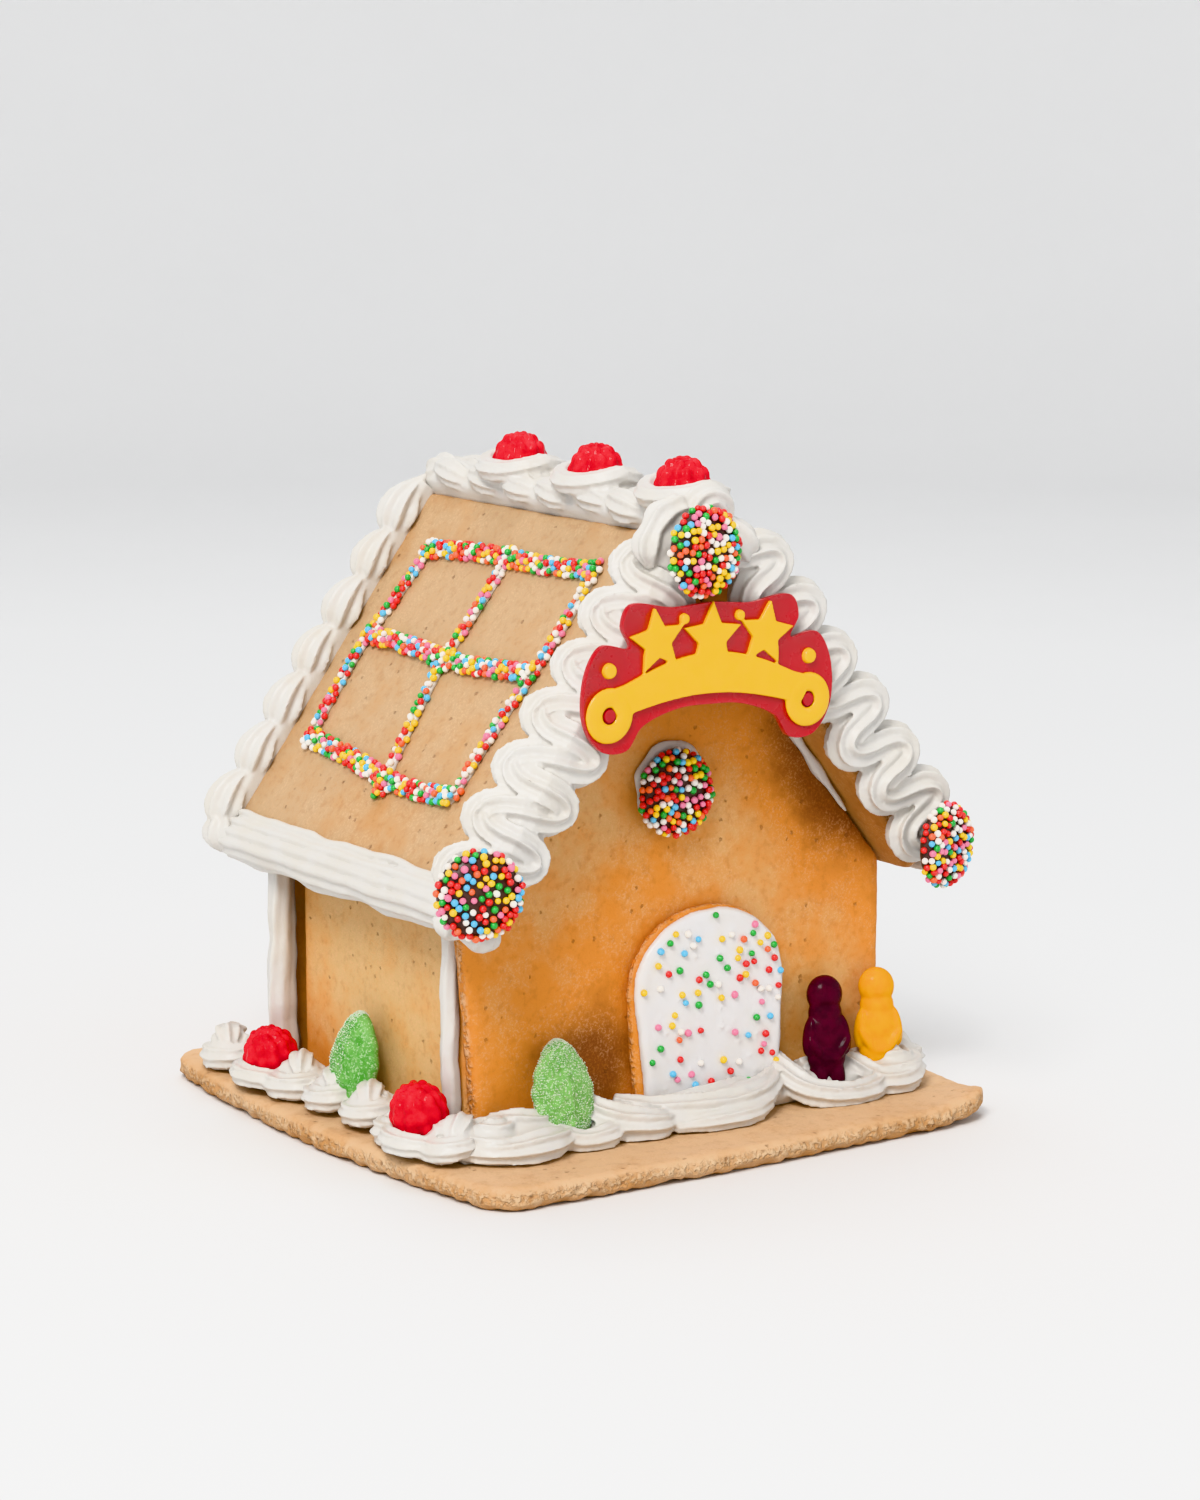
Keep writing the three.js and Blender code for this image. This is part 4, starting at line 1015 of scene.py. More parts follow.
def ridge_shells(bm, rng):
    """Overlapping shells from the back of the ridge to the front, one down each side."""
    y = PANEL_BACK - 1 * MM
    while y > PANEL_FRONT + 8 * MM:
        length = rng.uniform(17, 20) * MM
        for side in (LEFT, RIGHT):
            angle = pitch(side)
            out = Vector((side * math.sin(angle), 0, math.cos(angle)))
            down = Vector((side * math.cos(angle), 0, -math.sin(angle)))
            base = Vector((RIDGE.x, y, RIDGE.z)) + down * rng.uniform(3.2, 4.0) * MM + out * 0.6 * MM
            tail = base + Vector((0, 1.5 * MM, 0)) - down * 3 * MM
            head = base + Vector((0, -length * 1.25, 0)) + down * rng.uniform(0, 1.4) * MM
            shell(bm, tail, head, rng.uniform(4.8, 5.5) * MM, out, ridge=0.15,
                  sway=side * rng.uniform(0.2, 1.4) * MM)
        y -= length


def ridge_collar(bm, low, high):
    """Two arcs that close round a berry on the ridge."""
    reach = 9.6 * MM
    centre = Vector(((low[0] + high[0]) / 2, (low[1] + high[1]) / 2, low[2] + 0.5 * MM))
    for side in (LEFT, RIGHT):
        points, radii = [], []
        for i in range(19):
            t = i / 18
            a = math.radians(-98 + 196 * t)
            x = side * math.cos(a) * reach * 0.95
            points.append(centre + Vector((x, math.sin(a) * reach * 1.15, 4.8 * MM - abs(x) * 0.34)))
            radii.append(4.2 * MM * (0.6 + 0.4 * math.sin(math.pi * (0.06 + 0.9 * t)) ** 0.6))
        pipe(bm, strand(points, radii, up_axis(), 0.85), lobes=7, ridge=0.12)


class PipeRidge(bpy.types.Operator):
    """Pipe the ridge and its arcs round the berries"""

    bl_idname = "gingerbread.pipe_ridge"
    bl_label = "Ridge icing"

    def execute(self, context):
        top = RIDGE.z
        depth = PANEL_BACK - PANEL_FRONT
        bm = bmesh.new()
        filler = [Vector((RIDGE.x, PANEL_FRONT + depth * t / 24, top - 4 * MM)) for t in range(25)]
        pipe(bm, strand(filler, [6.2 * MM] * 25, up_axis()), lobes=6, ridge=0.04)
        ridge_shells(bm, random.Random(sizes().seed + 5))
        for which in ("back", "middle", "front"):
            ridge_collar(bm, *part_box(f"ridge_berry_{which}"))
        tail = Vector((RIDGE.x, PANEL_BACK - 14 * MM, top - 1 * MM))
        head = Vector((RIDGE.x, PANEL_BACK + 4 * MM, top - 5 * MM))
        shell(bm, tail, head, 6.4 * MM, up_axis())
        piped("ridge_icing", bm, "icing", "ridge_icing", seed=51)
        return {"FINISHED"}


def peak_swirl(bm):
    """The knob at the peak: a swirl wound inwards, with a shell down each gable."""
    top = RIDGE.z
    points, radii = [], []
    for i in range(60):
        t = i / 59
        a = -0.9 + 2 * math.pi * 1.55 * t
        r = 6.6 * MM * (1 - 0.75 * t)
        x = RIDGE.x - 1.5 * MM + r * math.cos(a)
        points.append(Vector((x, -72.6 * MM - 1.2 * MM * t, top - 1.6 * MM + r * math.sin(a) * 0.95)))
        radii.append(4.6 * MM * (0.5 + 0.5 * ease(t * 6)))
    pipe(bm, strand(points, radii, front_axis()), lobes=6, ridge=0.18)
    for side in (LEFT, RIGHT):
        start = Vector((RIDGE.x + side * 2 * MM, -69 * MM, top + 0.5 * MM))
        finish = Vector((RIDGE.x + side * 14 * MM, -72 * MM, top - 15 * MM))
        shell(bm, start, finish, 6.3 * MM, front_axis(), lobes=6, ridge=0.18)


def peak_collar(bm, low, high):
    """Two arcs round the upper rim of the drop at the peak, and a disc of icing behind it."""
    centre = (low + high) / 2
    for side in (LEFT, RIGHT):
        points, radii = [], []
        for i in range(25):
            a = math.radians(96 - 118 * i / 24)
            reach = (high.z - low.z) / 2 - (2.2 - 1.4 * i / 24) * MM
            x = centre.x + side * reach * math.cos(a)
            points.append(Vector((x, -72 * MM, centre.z + reach * math.sin(a))))
            radii.append((5.4 + 0.5 * math.sin(i * 0.8)) * MM * (0.4 + 0.6 * ease(min(i, 24 - i) / 4)))
        pipe(bm, strand(points, radii, front_axis(), 0.9), lobes=7, ridge=0.16)
    flat = Matrix.Diagonal((1, 0.45, 1, 1))
    behind = Matrix.Translation((centre.x, -72.5 * MM, centre.z + 1 * MM)) @ flat
    bmesh.ops.create_icosphere(bm, subdivisions=4, radius=11 * MM, matrix=behind)


class PipePeak(bpy.types.Operator):
    """Pipe the knob at the peak and the collar of its chocolate drop"""

    bl_idname = "gingerbread.pipe_peak"
    bl_label = "Peak icing"

    def execute(self, context):
        bm = bmesh.new()
        peak_swirl(bm)
        low, high = (Vector(c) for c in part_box("freckle_peak"))
        peak_collar(bm, low, high)
        piped("peak_icing", bm, "icing", "peak_icing", seed=53)
        return {"FINISHED"}


def curl(bm, centre, out, reach, rope, rise, turns, start, hand, stretch=1.0):
    """One piped swirl: a strand wound inwards and upwards round its centre."""
    along = up_axis().cross(out)
    points, radii = [], []
    count = int(30 * turns)
    for i in range(count + 1):
        t = i / count
        a = start + hand * 2 * math.pi * turns * t
        r = reach * (1 - 0.72 * t)
        lift = Vector((0, 0, BOARD_TOP + rope * 0.45 + rise * t))
        points.append(centre + out * math.cos(a) * r + along * math.sin(a) * r * stretch + lift)
        radii.append(rope * (0.12 + 0.88 * ease(t * 7)) * (1 - 0.22 * t) * (0.15 + 0.85 * ease((1 - t) * 7)))
    pipe(bm, strand(points, radii, up_axis()), lobes=8, ridge=0.17)


def trail(bm, way, lobes=8, ridge=0.18):
    """A long fluid strand through stops given as x, y, height over the board and radius."""
    stops = [Vector(stop) * MM for stop in way]
    points, radii = [], []
    for i in range(len(stops) - 1):
        a, b, c, d = (stops[max(0, min(len(stops) - 1, i + k))] for k in (-1, 0, 1, 2))
        for j in range(9 + (i == len(stops) - 2)):
            t = j / 9
            at = spline(a, b, c, d, t)
            points.append(Vector((at[0], at[1], at[2] + BOARD_TOP)))
            radii.append(max(0.4 * MM, at[3]))
    pipe(bm, strand(points, radii, up_axis(), 0.92), lobes=lobes, ridge=ridge)


# Sweeps along the front wall: stops of x, y, height over the board and radius in millimetres.
FRONT_TRAILS = [
    [(-79, -62, 3.4, 3), (-71, -69.5, 3.6, 4.6), (-60, -71, 4, 5.8), (-51, -68, 4, 4.6), (-48, -63, 4.5, 2)],
    [(-67, -57, 9, 3), (-61, -61.5, 8, 5.6), (-54, -62, 7, 5.4), (-50, -58, 8, 2.4)],
    [(-60, -58, 5, 4), (-52, -64.5, 4, 5.2), (-44, -68.5, 2.4, 4), (-36, -69, 2.8, 4.4), (-29, -65, 4, 2)],
    [(-42, -55.5, 11.5, 3), (-37, -59, 8.5, 5.4), (-30, -65, 4.6, 6.6), (-20, -69, 3.4, 5.4),
     (-11, -66, 3, 2)],
    [(-26, -57, 8, 3.4), (-16, -63, 5, 5.6), (0, -68, 4, 6.6), (14, -67.5, 4.8, 6.2), (24, -62.5, 7, 4.6),
     (30, -57.5, 10.5, 1.6)],
    [(-14, -70.5, 2, 2.4), (-3, -73, 2.2, 3.6), (10, -72.5, 2.4, 3.8), (20, -69, 3, 1.8)],
    [(-8, -60, 5, 4), (8, -61, 5.5, 5), (22, -57, 7, 3)],
    [(32, -54.5, 13, 2.4), (31, -60, 9, 5), (35, -67.5, 4, 5.2), (46, -71.5, 2.2, 4.8), (57, -69, 2.8, 4.6),
     (64, -62, 6, 2.6)],
    [(53, -55, 10, 3.2), (57, -60, 6.6, 4.8), (62, -68.5, 3, 5), (71, -68, 3.6, 4.8), (77, -61, 6.4, 2.4)],
    [(40, -55.5, 7, 4), (50, -55.5, 7, 4.4), (62, -55.5, 7, 4.2), (74, -56, 6, 3.4)],
]


class PipeBase(bpy.types.Operator):
    """Pipe the swirled borders round the foot of the walls"""

    bl_idname = "gingerbread.pipe_base"
    bl_label = "Base icing"

    def execute(self, context):
        rope = sizes().border_rope
        plans = {
            "left": (Vector((-1, 0, 0)), 7, 1.1),
            "right": (Vector((1, 0, 0)), 7, 1.1),
            "front": (front_axis(), 0, 1.0),
            "back": (Vector((0, 1, 0)), 8, 1.05),
        }
        up = up_axis()
        for k, (name, (out, loops, stretch)) in enumerate(plans.items()):
            rng = random.Random(sizes().seed + 11 * k)
            low, high = (Vector(c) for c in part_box(f"base_icing_{name}"))
            middle = (low + high) / 2
            level = Vector((abs(out.x), abs(out.y), 0))
            along = Vector((abs(out.y), abs(out.x), 0))
            width, length = (high - low).dot(level), (high - low).dot(along)
            middle.z = 0
            reach = width / 2 - rope * 0.92
            half = length / 2 - (reach * stretch + rope * 0.8)
            bm = bmesh.new()
            for i in range(loops):
                slide = half * (1 - 2 * i / (loops - 1))
                centre = middle + along * (slide + rng.uniform(-1, 1) * MM) + out * rng.uniform(-1, 0.3) * MM
                size = rng.uniform(0.92, 1.05)
                hand = -1 if out.x > 0 or out.y < 0 else 1
                curl(bm, centre, out, reach * size, rope * size, rng.uniform(5.5, 8) * MM,
                     rng.uniform(1.3, 1.7), rng.uniform(2.2, 3.8), hand, stretch * rng.uniform(0.95, 1.1))
                start = centre - out * (width / 2 - 4 * MM) + along * 7 * MM + up * (BOARD_TOP + 9 * MM)
                finish = centre + out * rng.uniform(2, 4.5) * MM - along * 4 * MM + up * (BOARD_TOP + 6 * MM)
                shell(bm, start, finish, rope * 1.15, up, lobes=8, ridge=0.17, sway=rng.uniform(-3, 3) * MM)
            core = [middle + along * (length / 2 - 7 * MM) * (1 - t / 15) for t in range(31)]
            for p in core:
                p += up * (BOARD_TOP + 3 * MM) - out * 5.5 * MM
            pipe(bm, strand(core, [rope * 1.3] * 31, up, 0.8), lobes=6, ridge=0.05)
            if name == "front":
                for side in (1, -1):
                    corner = Vector((-69.5 * side, -61.5, 0)) * MM
                    curl(bm, corner, out, 7.2 * MM, 5.6 * MM, 6.5 * MM, 1.8, 2.6, -side)
                for way in FRONT_TRAILS:
                    trail(bm, way)
            elif name != "back":
                for berry in ("back", "front"):
                    low, high = (Vector(c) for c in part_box(f"berry_{name}_{berry}"))
                    middle = (low + high) / 2
                    way = []
                    for i in range(5):
                        a = math.radians(-100 + 50 * i)
                        x = (middle.x + out.x * 8.6 * MM * math.cos(a)) / MM
                        y = (middle.y + 9.6 * MM * math.sin(a)) / MM
                        radius = 4.4 * (0.45 + 0.55 * math.sin(math.pi * (0.1 + 0.2 * i)))
                        way.append((x, y, 4.4 + 0.5 * math.cos(a), radius))
                    trail(bm, way)
            piece = piped(f"base_icing_{name}", bm, "icing", f"base_icing_{name}", softening=2,
                          grid=0.58 * MM, wobble=0.5, seed=60 + k)
            points = vertex_array(piece.data)
            points[:, 2] = np.maximum(points[:, 2], BOARD_TOP + 0.05 * MM)
            write_vertices(piece.data, points)
        return {"FINISHED"}


class PipeCorners(bpy.types.Operator):
    """Pipe the columns in the corners and the beads under the roof"""

    bl_idname = "gingerbread.pipe_corners"
    bl_label = "Corner and seam icing"

    def execute(self, context):
        for k, name in enumerate(("front_left", "front_right", "back_left", "back_right")):
            low, high = (Vector(c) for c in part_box(f"corner_icing_{name}"))
            middle = (low + high) / 2
            wide, deep = (high.x - low.x) / 2, (high.y - low.y) / 2
            points, stations = [], []
            for i in range(40):
                t = i / 39
                z = 12 * MM + (high.z - 12 * MM) * t
                sway = noise.noise(Vector((t * 4, k * 2.0, 0))) * 0.7 * MM
                bulge = 1 + 0.12 * noise.noise(Vector((t * 7, k * 2.0, 5)))
                points.append(Vector((middle.x + sway, middle.y, z)))
                wide_here, deep_here = wide * bulge * 1.3, deep * bulge * 1.15
                stations.append(aim(points[-1], up_axis(), front_axis(), wide_here, deep_here, t * 0.8))
            bm = bmesh.new()
            pipe(bm, stations, lobes=6, ridge=0.07)
            piped(f"corner_icing_{name}", bm, "icing", f"corner_icing_{name}", softening=3, seed=70 + k,
                  wobble=0.35)
        for side in (LEFT, RIGHT):
            bm = bmesh.new()
            points, radii = [], []
            for i in range(50):
                t = i / 49
                u = (36 + 76 * t) * MM
                swell = 0.7 + 0.5 * noise.noise(Vector((u / (7 * MM), side * 2.0, 1)))
                points.append(Vector((u, FRONT_FACE - 0.6 * MM, -PANEL_THICK - 1.5 * MM)))
                radii.append(max(0.5, (0.9 + 1.1 * swell) * (0.3 + 0.7 * ease(min(t, 1 - t) * 6))) * MM)
            pipe(bm, strand(points, radii, front_axis(), 0.9), lobes=5, ridge=0.04)
            piped(f"seam_icing_{SIDE_NAME[side]}", bm, "icing", f"seam_icing_{SIDE_NAME[side]}", softening=2,
                  grid=0.4 * MM, wobble=0.3, seed=80 + side, place=slope(side))
        return {"FINISHED"}


# ------------------------------------------------------------------ sprinkles


class Scatter:
    """Drops balls of sugar so that no two overlap much."""

    def __init__(self, seed, spacing):
        self.rng = random.Random(seed)
        self.spacing = spacing
        self.cells = {}
        self.placed = []

    def cell(self, p):
        return tuple(int(math.floor(c / self.spacing)) for c in p)

    def offer(self, p):
        i, j, k = self.cell(p)
        for a in (-1, 0, 1):
            for b in (-1, 0, 1):
                for c in (-1, 0, 1):
                    for q in self.cells.get((i + a, j + b, k + c), ()):
                        if (q - p).length < self.spacing:
                            return False
        self.cells.setdefault((i, j, k), []).append(p)
        self.placed.append(p)
        return True


def sprinkle_colour(rng):
    total = sum(weight for _, weight in SPRINKLE_COLOURS)
    pick = rng.uniform(0, total)
    for colour, weight in SPRINKLE_COLOURS:
        pick -= weight
        if pick <= 0:
            return colour
    return SPRINKLE_COLOURS[-1][0]


def sprinkle_piece(name, places, slot, rng, *nodes):
    """Joins one ball of sugar per place into a piece that carries each ball's colour."""
    bm = bmesh.new()
    layer = bm.verts.layers.float_color.new("sprinkle_colour")
    for place in places:
        size = sizes().sprinkle / 2 * rng.uniform(0.88, 1.08)
        turn = Matrix.Rotation(rng.uniform(0, 6.28), 4, "Z") @ Matrix.Rotation(rng.uniform(0, 6.28), 4, "X")
        stretch = Matrix.Diagonal((1, rng.uniform(0.92, 1.05), rng.uniform(0.94, 1.04), 1))
        spot_at = Matrix.Translation(place) @ turn @ stretch
        made = bmesh.ops.create_icosphere(bm, subdivisions=2, radius=size, matrix=spot_at)
        colour = Vector(sprinkle_colour(rng))
        for vert in made["verts"]:
            vert[layer] = colour
    piece = make_object(name, bm)
    return finish_piece(piece, sprinkle_material(), slot, *nodes)


WINDOW_ROWS = [
    [(27.9, 42.5), (25.4, 2.1), (24.2, -40.4)],
    [(57.8, 47.3), (59.9, 4.6), (57.4, -39.1)],
    [(92.8, 46.1), (98.5, -0.8), (98.0, -35.7)],
]


class SprinkleWindows(bpy.types.Operator):
    """Pipe the window lattices and coat them with sprinkles"""

    bl_idname = "gingerbread.sprinkle_windows"
    bl_label = "Sprinkle windows"

    def execute(self, context):
        for side in (LEFT, RIGHT):
            rng = random.Random(sizes().seed + 90 + side)
            bars = []
            for row in WINDOW_ROWS:
                bars += [(row[0], row[1], 2.35, 2.3), (row[1], row[2], 2.35, 2.3)]
            for column in range(3):
                a, b, c = (row[column] for row in WINDOW_ROWS)
                if column == 1:
                    c = (c[0] + 4.5, c[1] - 1)
                bars += [(a, b, 1.5, 2.0), (b, c, 1.5, 2.0)]
            bm = bmesh.new()
            heap = Scatter(sizes().seed + 95 + side, 1.62 * MM)
            for index, (start, end, wide, high) in enumerate(bars):
                a, b = Vector((*start, 0)) * MM, Vector((*end, 0)) * MM
                run = b - a
                across = Vector((-run.y, run.x, 0)).normalized()
                bend = 0.7 * MM * (1 if index % 2 else -1)
                count = 18
                points, radii = [], []
                for i in range(count):
                    t = i / (count - 1)
                    bowed = a + run * t + across * bend * math.sin(math.pi * t)
                    points.append(bowed + Vector((0, 0, 0.5 * MM)))
                    radii.append((wide * 0.92 + 0.25 * noise.noise(Vector((t * 9, index, side)))) * MM)
                pipe(bm, strand(points, radii, up_axis(), high / wide * 0.62), lobes=5, ridge=0.02)
                tries = int(run.length / MM * 60)
                for _ in range(tries):
                    t = heap.rng.uniform(-0.02, 1.02)
                    turn = heap.rng.uniform(0.02, math.pi - 0.02)
                    knot = 1 + 0.35 * math.exp(-((min(t, 1 - t) * run.length / (3 * MM)) ** 2))
                    off = math.cos(turn) * wide * knot * MM
                    rise = (0.55 + math.sin(turn) * high * 0.78 * (1 + 0.3 * (knot - 1))) * MM
                    centre = a + run * t + across * (off + bend * math.sin(math.pi * min(1, max(0, t))))
                    heap.offer(Vector((centre.x, centre.y, max(rise, 0.95 * MM))))
            piped(f"window_icing_{SIDE_NAME[side]}", bm, "icing", softening=1, grid=0.6 * MM, wobble=0.1,
                  seed=90 + side, place=slope(side))
            matrix = slope(side)
            places = [matrix @ p for p in heap.placed]
            sprinkle_piece(f"window_{SIDE_NAME[side]}", places, "sprinkles", rng, f"window_{SIDE_NAME[side]}")
        return {"FINISHED"}


def chocolate_disc(name, r, h):
    """A domed drop of chocolate, turned from half its section."""
    profile = [(0, 0), (r * 0.95, 0), (r, h * 0.18), (r * 0.98, h * 0.45), (r * 0.86, h * 0.75),
               (r * 0.6, h * 0.95), (r * 0.3, h * 1.02), (0, h * 1.04)]
    bm = bmesh.new()
    verts = [bm.verts.new((x, 0, z)) for x, z in profile]
    edges = [bm.edges.new(pair) for pair in zip(verts, verts[1:])]
    turn_profile(bm, verts + edges, 56, 1e-6)
    return make_object(name, bm)


def sprinkle_dome(k, r, h, bare):
    """Places of the sprinkles on a drop, fewer at its middle where it is bare."""
    heap = Scatter(sizes().seed + 110 + k, (1.66 + 0.16 * bare) * MM)
    for _ in range(7500):
        a = heap.rng.uniform(0, 2 * math.pi)
        s = math.sqrt(heap.rng.uniform(0, 1.18))
        if s <= 1:
            reach = r * s * 0.97
            rise = h * (1.04 - 0.5 * max(0, s - 0.35) ** 2)
            if s > 0.86:
                rise = h * (0.9 - 0.9 * (s - 0.86) * 2.2)
        else:
            reach = r * 1.02
            rise = h * heap.rng.uniform(0.12, 0.55)
        patch = noise.noise(Vector((math.cos(a) * s * 1.6, math.sin(a) * s * 1.6, k * 3.0)))
        middle = math.exp(-(((math.cos(a) * s + 0.1) ** 2 + (math.sin(a) * s + 0.1) ** 2) / 0.16))
        if heap.rng.uniform(0, 1) < bare * (0.35 + 0.9 * middle + 0.5 * patch) and s < 0.95:
            if heap.rng.uniform(0, 1) < 0.99:
                continue
        heap.offer(Vector((reach * math.cos(a), reach * math.sin(a), rise + 0.35 * MM)))
    return heap.placed


class SetFreckles(bpy.types.Operator):
    """Set the chocolate drops and coat them with sprinkles"""

    bl_idname = "gingerbread.set_freckles"
    bl_label = "Chocolate drops"

    def execute(self, context):
        look = plain_material("chocolate", colours().chocolate, 0.42, 0.1, 700, 0.25)
        plans = [
            ("freckle_peak", 12.5, (-12.9, -79.4, 170.2), 0.12, 0.0),
            ("freckle_left", 12.3, (-84.0, -78.9, 85.2), -0.3, 0.6),
            ("freckle_right", 12.2, (69.4, -81.9, 81.0), 0.33, 0.12),
            ("freckle_gable", 12.4, (-4.4, -54.9, 99.8), 0.0, 0.3),
        ]
        for k, (name, radius, at, yaw, bare) in enumerate(plans):
            rng = random.Random(sizes().seed + 100 + k)
            r, h = radius * MM - 0.9 * MM, 4.6 * MM
            turned = Matrix.Rotation(yaw, 4, "Z") @ Matrix.Rotation(math.pi / 2, 4, "X")
            stand = Matrix.Translation(Vector(at) * MM) @ turned
            piece = chocolate_disc(f"{name}_chocolate", r, h)
            place_mesh(piece, stand)
            finish_piece(piece, look, "chocolate_sprinkles")
            places = [stand @ p for p in sprinkle_dome(k, r, h, bare)]
            sprinkle_piece(name, places, "chocolate_sprinkles", rng, name)

        bm = bmesh.new()
        low, high = (Vector(c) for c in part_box("freckle_dab"))
        centre = (low + high) / 2
        points, radii = [], []
        for i in range(64):
            a = 2 * math.pi * i / 50
            r = 9.2 * MM * (1 - 0.25 * max(0, i - 48) / 15)
            x = centre.x + r * math.cos(a)
            points.append(Vector((x, FRONT_FACE - 1.0 * MM, centre.z + r * math.sin(a))))
            radii.append((3.3 + 0.4 * math.sin(i * 0.9)) * MM)
        pipe(bm, strand(points, radii, front_axis(), 0.42), lobes=6, ridge=0.06)
        at = Matrix.Translation((centre.x, FRONT_FACE - 0.9 * MM, centre.z))
        flat = at @ Matrix.Diagonal((1, 0.1, 1, 1))
        bmesh.ops.create_icosphere(bm, subdivisions=4, radius=10.5 * MM, matrix=flat)
        piped("freckle_dab", bm, "icing", "freckle_dab", softening=2, grid=0.45 * MM, wobble=0.5, seed=104)
        return {"FINISHED"}


class SprinkleDoor(bpy.types.Operator):
    """Drop sprinkles into the wet icing of the door"""

    bl_idname = "gingerbread.sprinkle_door"
    bl_label = "Door sprinkles"

    def execute(self, context):
        low, high = (Vector(c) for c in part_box("door_icing"))
        heap = Scatter(sizes().seed + 130, 2.1 * MM)
        rng = heap.rng
        face = low.y - 0.1 * MM
        while len(heap.placed) < 82:
            crowd = rng.uniform(0, 1)
            if crowd < 0.3:
                x = rng.gauss(high.x - 7 * MM, 5.5 * MM)
                z = rng.gauss(high.z - 14 * MM, 8 * MM)
            else:
                x = rng.uniform(low.x, high.x)
                z = rng.uniform(low.z + 3 * MM, high.z)
            half = (high.x - low.x) / 2 - 1.2 * MM
            centre = (low.x + high.x) / 2
            spring = high.z - half * 0.9
            inside = low.x + 3 * MM < x < high.x - 1.6 * MM and low.z + 3 * MM < z < spring
            rise = (z - spring) / (high.z - spring - 2 * MM)
            arch = ((x - centre) / half) ** 2 + rise**2 < 1 and z >= spring
            if inside or arch:
                heap.offer(Vector((x, face - rng.uniform(0.1, 0.5) * MM, z)))
        sprinkle_piece("door_sprinkles", heap.placed, "sprinkles", rng)
        return {"FINISHED"}


# ------------------------------------------------------------------ jelly sweets


def crystals(name, host, count, seed, keep):
    """Sugar crystals pressed into the skin of a jelly."""
    rng = random.Random(seed)
    points = vertex_array(host.data)
    normals = normal_array(host.data)
    chosen = [i for i in range(len(points)) if keep(points[i], normals[i])]
    grain = sizes().sugar_grain
    bm = bmesh.new()
    for _ in range(count):
        i = chosen[rng.randrange(len(chosen))]
        jitter = Vector([rng.uniform(-0.3, 0.3) * MM for _ in range(3)])
        at = Vector(points[i]) + jitter * 0.6 + Vector(normals[i]) * grain * 0.12
        turn = Matrix.Rotation(rng.uniform(0, 6.28), 4, "Z") @ Matrix.Rotation(rng.uniform(0, 6.28), 4, "X")
        stretch = Matrix.Diagonal((rng.uniform(0.6, 1.2), rng.uniform(0.6, 1.1), rng.uniform(0.7, 1.3), 1))
        bmesh.ops.create_cube(bm, size=grain, matrix=Matrix.Translation(at) @ turn @ stretch)
    piece = make_object(name, bm)
    look = plain_material("sugar_crystals", colours().sugar, 0.3, 0.2, 900, 0.0, 0.3)
    finish_piece(piece, look, "green_jelly")
    for polygon in piece.data.polygons:
        polygon.use_smooth = False
    return piece


class SetBerries(bpy.types.Operator):
    """Mould the jelly berries"""

    bl_idname = "gingerbread.set_berries"
    bl_label = "Jelly berries"

    def execute(self, context):
        look = jelly_material("berry_jelly", colours().berry, paint("c2031a"), 0.13, 0.0, 0.15)
        plans = [
            ("ridge_berry_back", (-4, 21.4, 180.3), (0, 0, 0.2)),
            ("ridge_berry_middle", (-4, -17.4, 180.3), (0, 0, 0.9)),
            ("ridge_berry_front", (-4, -58.9, 180.3), (0, 0, 1.5)),
            ("berry_left_back", (-79.6, 36.4, 12.2), (0, -0.3, 0.4)),
            ("berry_left_front", (-81.4, -47, 14.5), (0, -0.3, 0.9)),
            ("berry_right_back", (79.6, 36.4, 12.2), (0, 0.3, 0.4)),
            ("berry_right_front", (81.4, -24.5, 12.5), (0, 0.3, 0.9)),
        ]
        for k, (name, at, turn) in enumerate(plans):
            rng = random.Random(sizes().seed + 140 + k)
            bm = bmesh.new()
            core = Matrix.Translation((0, 0, 5.0 * MM)) @ Matrix.Diagonal((7.35 * MM, 7.35 * MM, 7.0 * MM, 1))
            bmesh.ops.create_icosphere(bm, subdivisions=4, radius=1, matrix=core)
            rows = [
                (5.9, 1.9, 11, 2.15), (6.05, 4.9, 11, 2.25), (5.3, 7.8, 11, 2.05), (3.5, 10.1, 8, 1.85),
                (1.3, 11.1, 4, 1.6),
            ]
            for reach, rise, count, size in rows:
                for i in range(count):
                    a = 2 * math.pi * i / count + 0.08 * rng.uniform(-1, 1)
                    x, y = reach * math.cos(a) * MM, reach * math.sin(a) * MM
                    spot_at = Matrix.Translation((x, y, rise * MM))
                    lump = size * rng.uniform(0.94, 1.05) * MM
                    tall = spot_at @ Matrix.Rotation(a, 4, "Z") @ Matrix.Diagonal((1, 0.86, 1.3, 1))
                    bmesh.ops.create_icosphere(bm, subdivisions=3, radius=lump, matrix=tall)
            piece = fuse(make_object(name, bm), sizes().jelly_detail, 3)
            turned = Matrix.Rotation(turn[1], 4, "Y") @ Matrix.Rotation(turn[2], 4, "Z")
            place_mesh(piece, Matrix.Translation(Vector(at) * MM) @ turned)
            finish_piece(piece, look, "red_jelly", name)
        return {"FINISHED"}


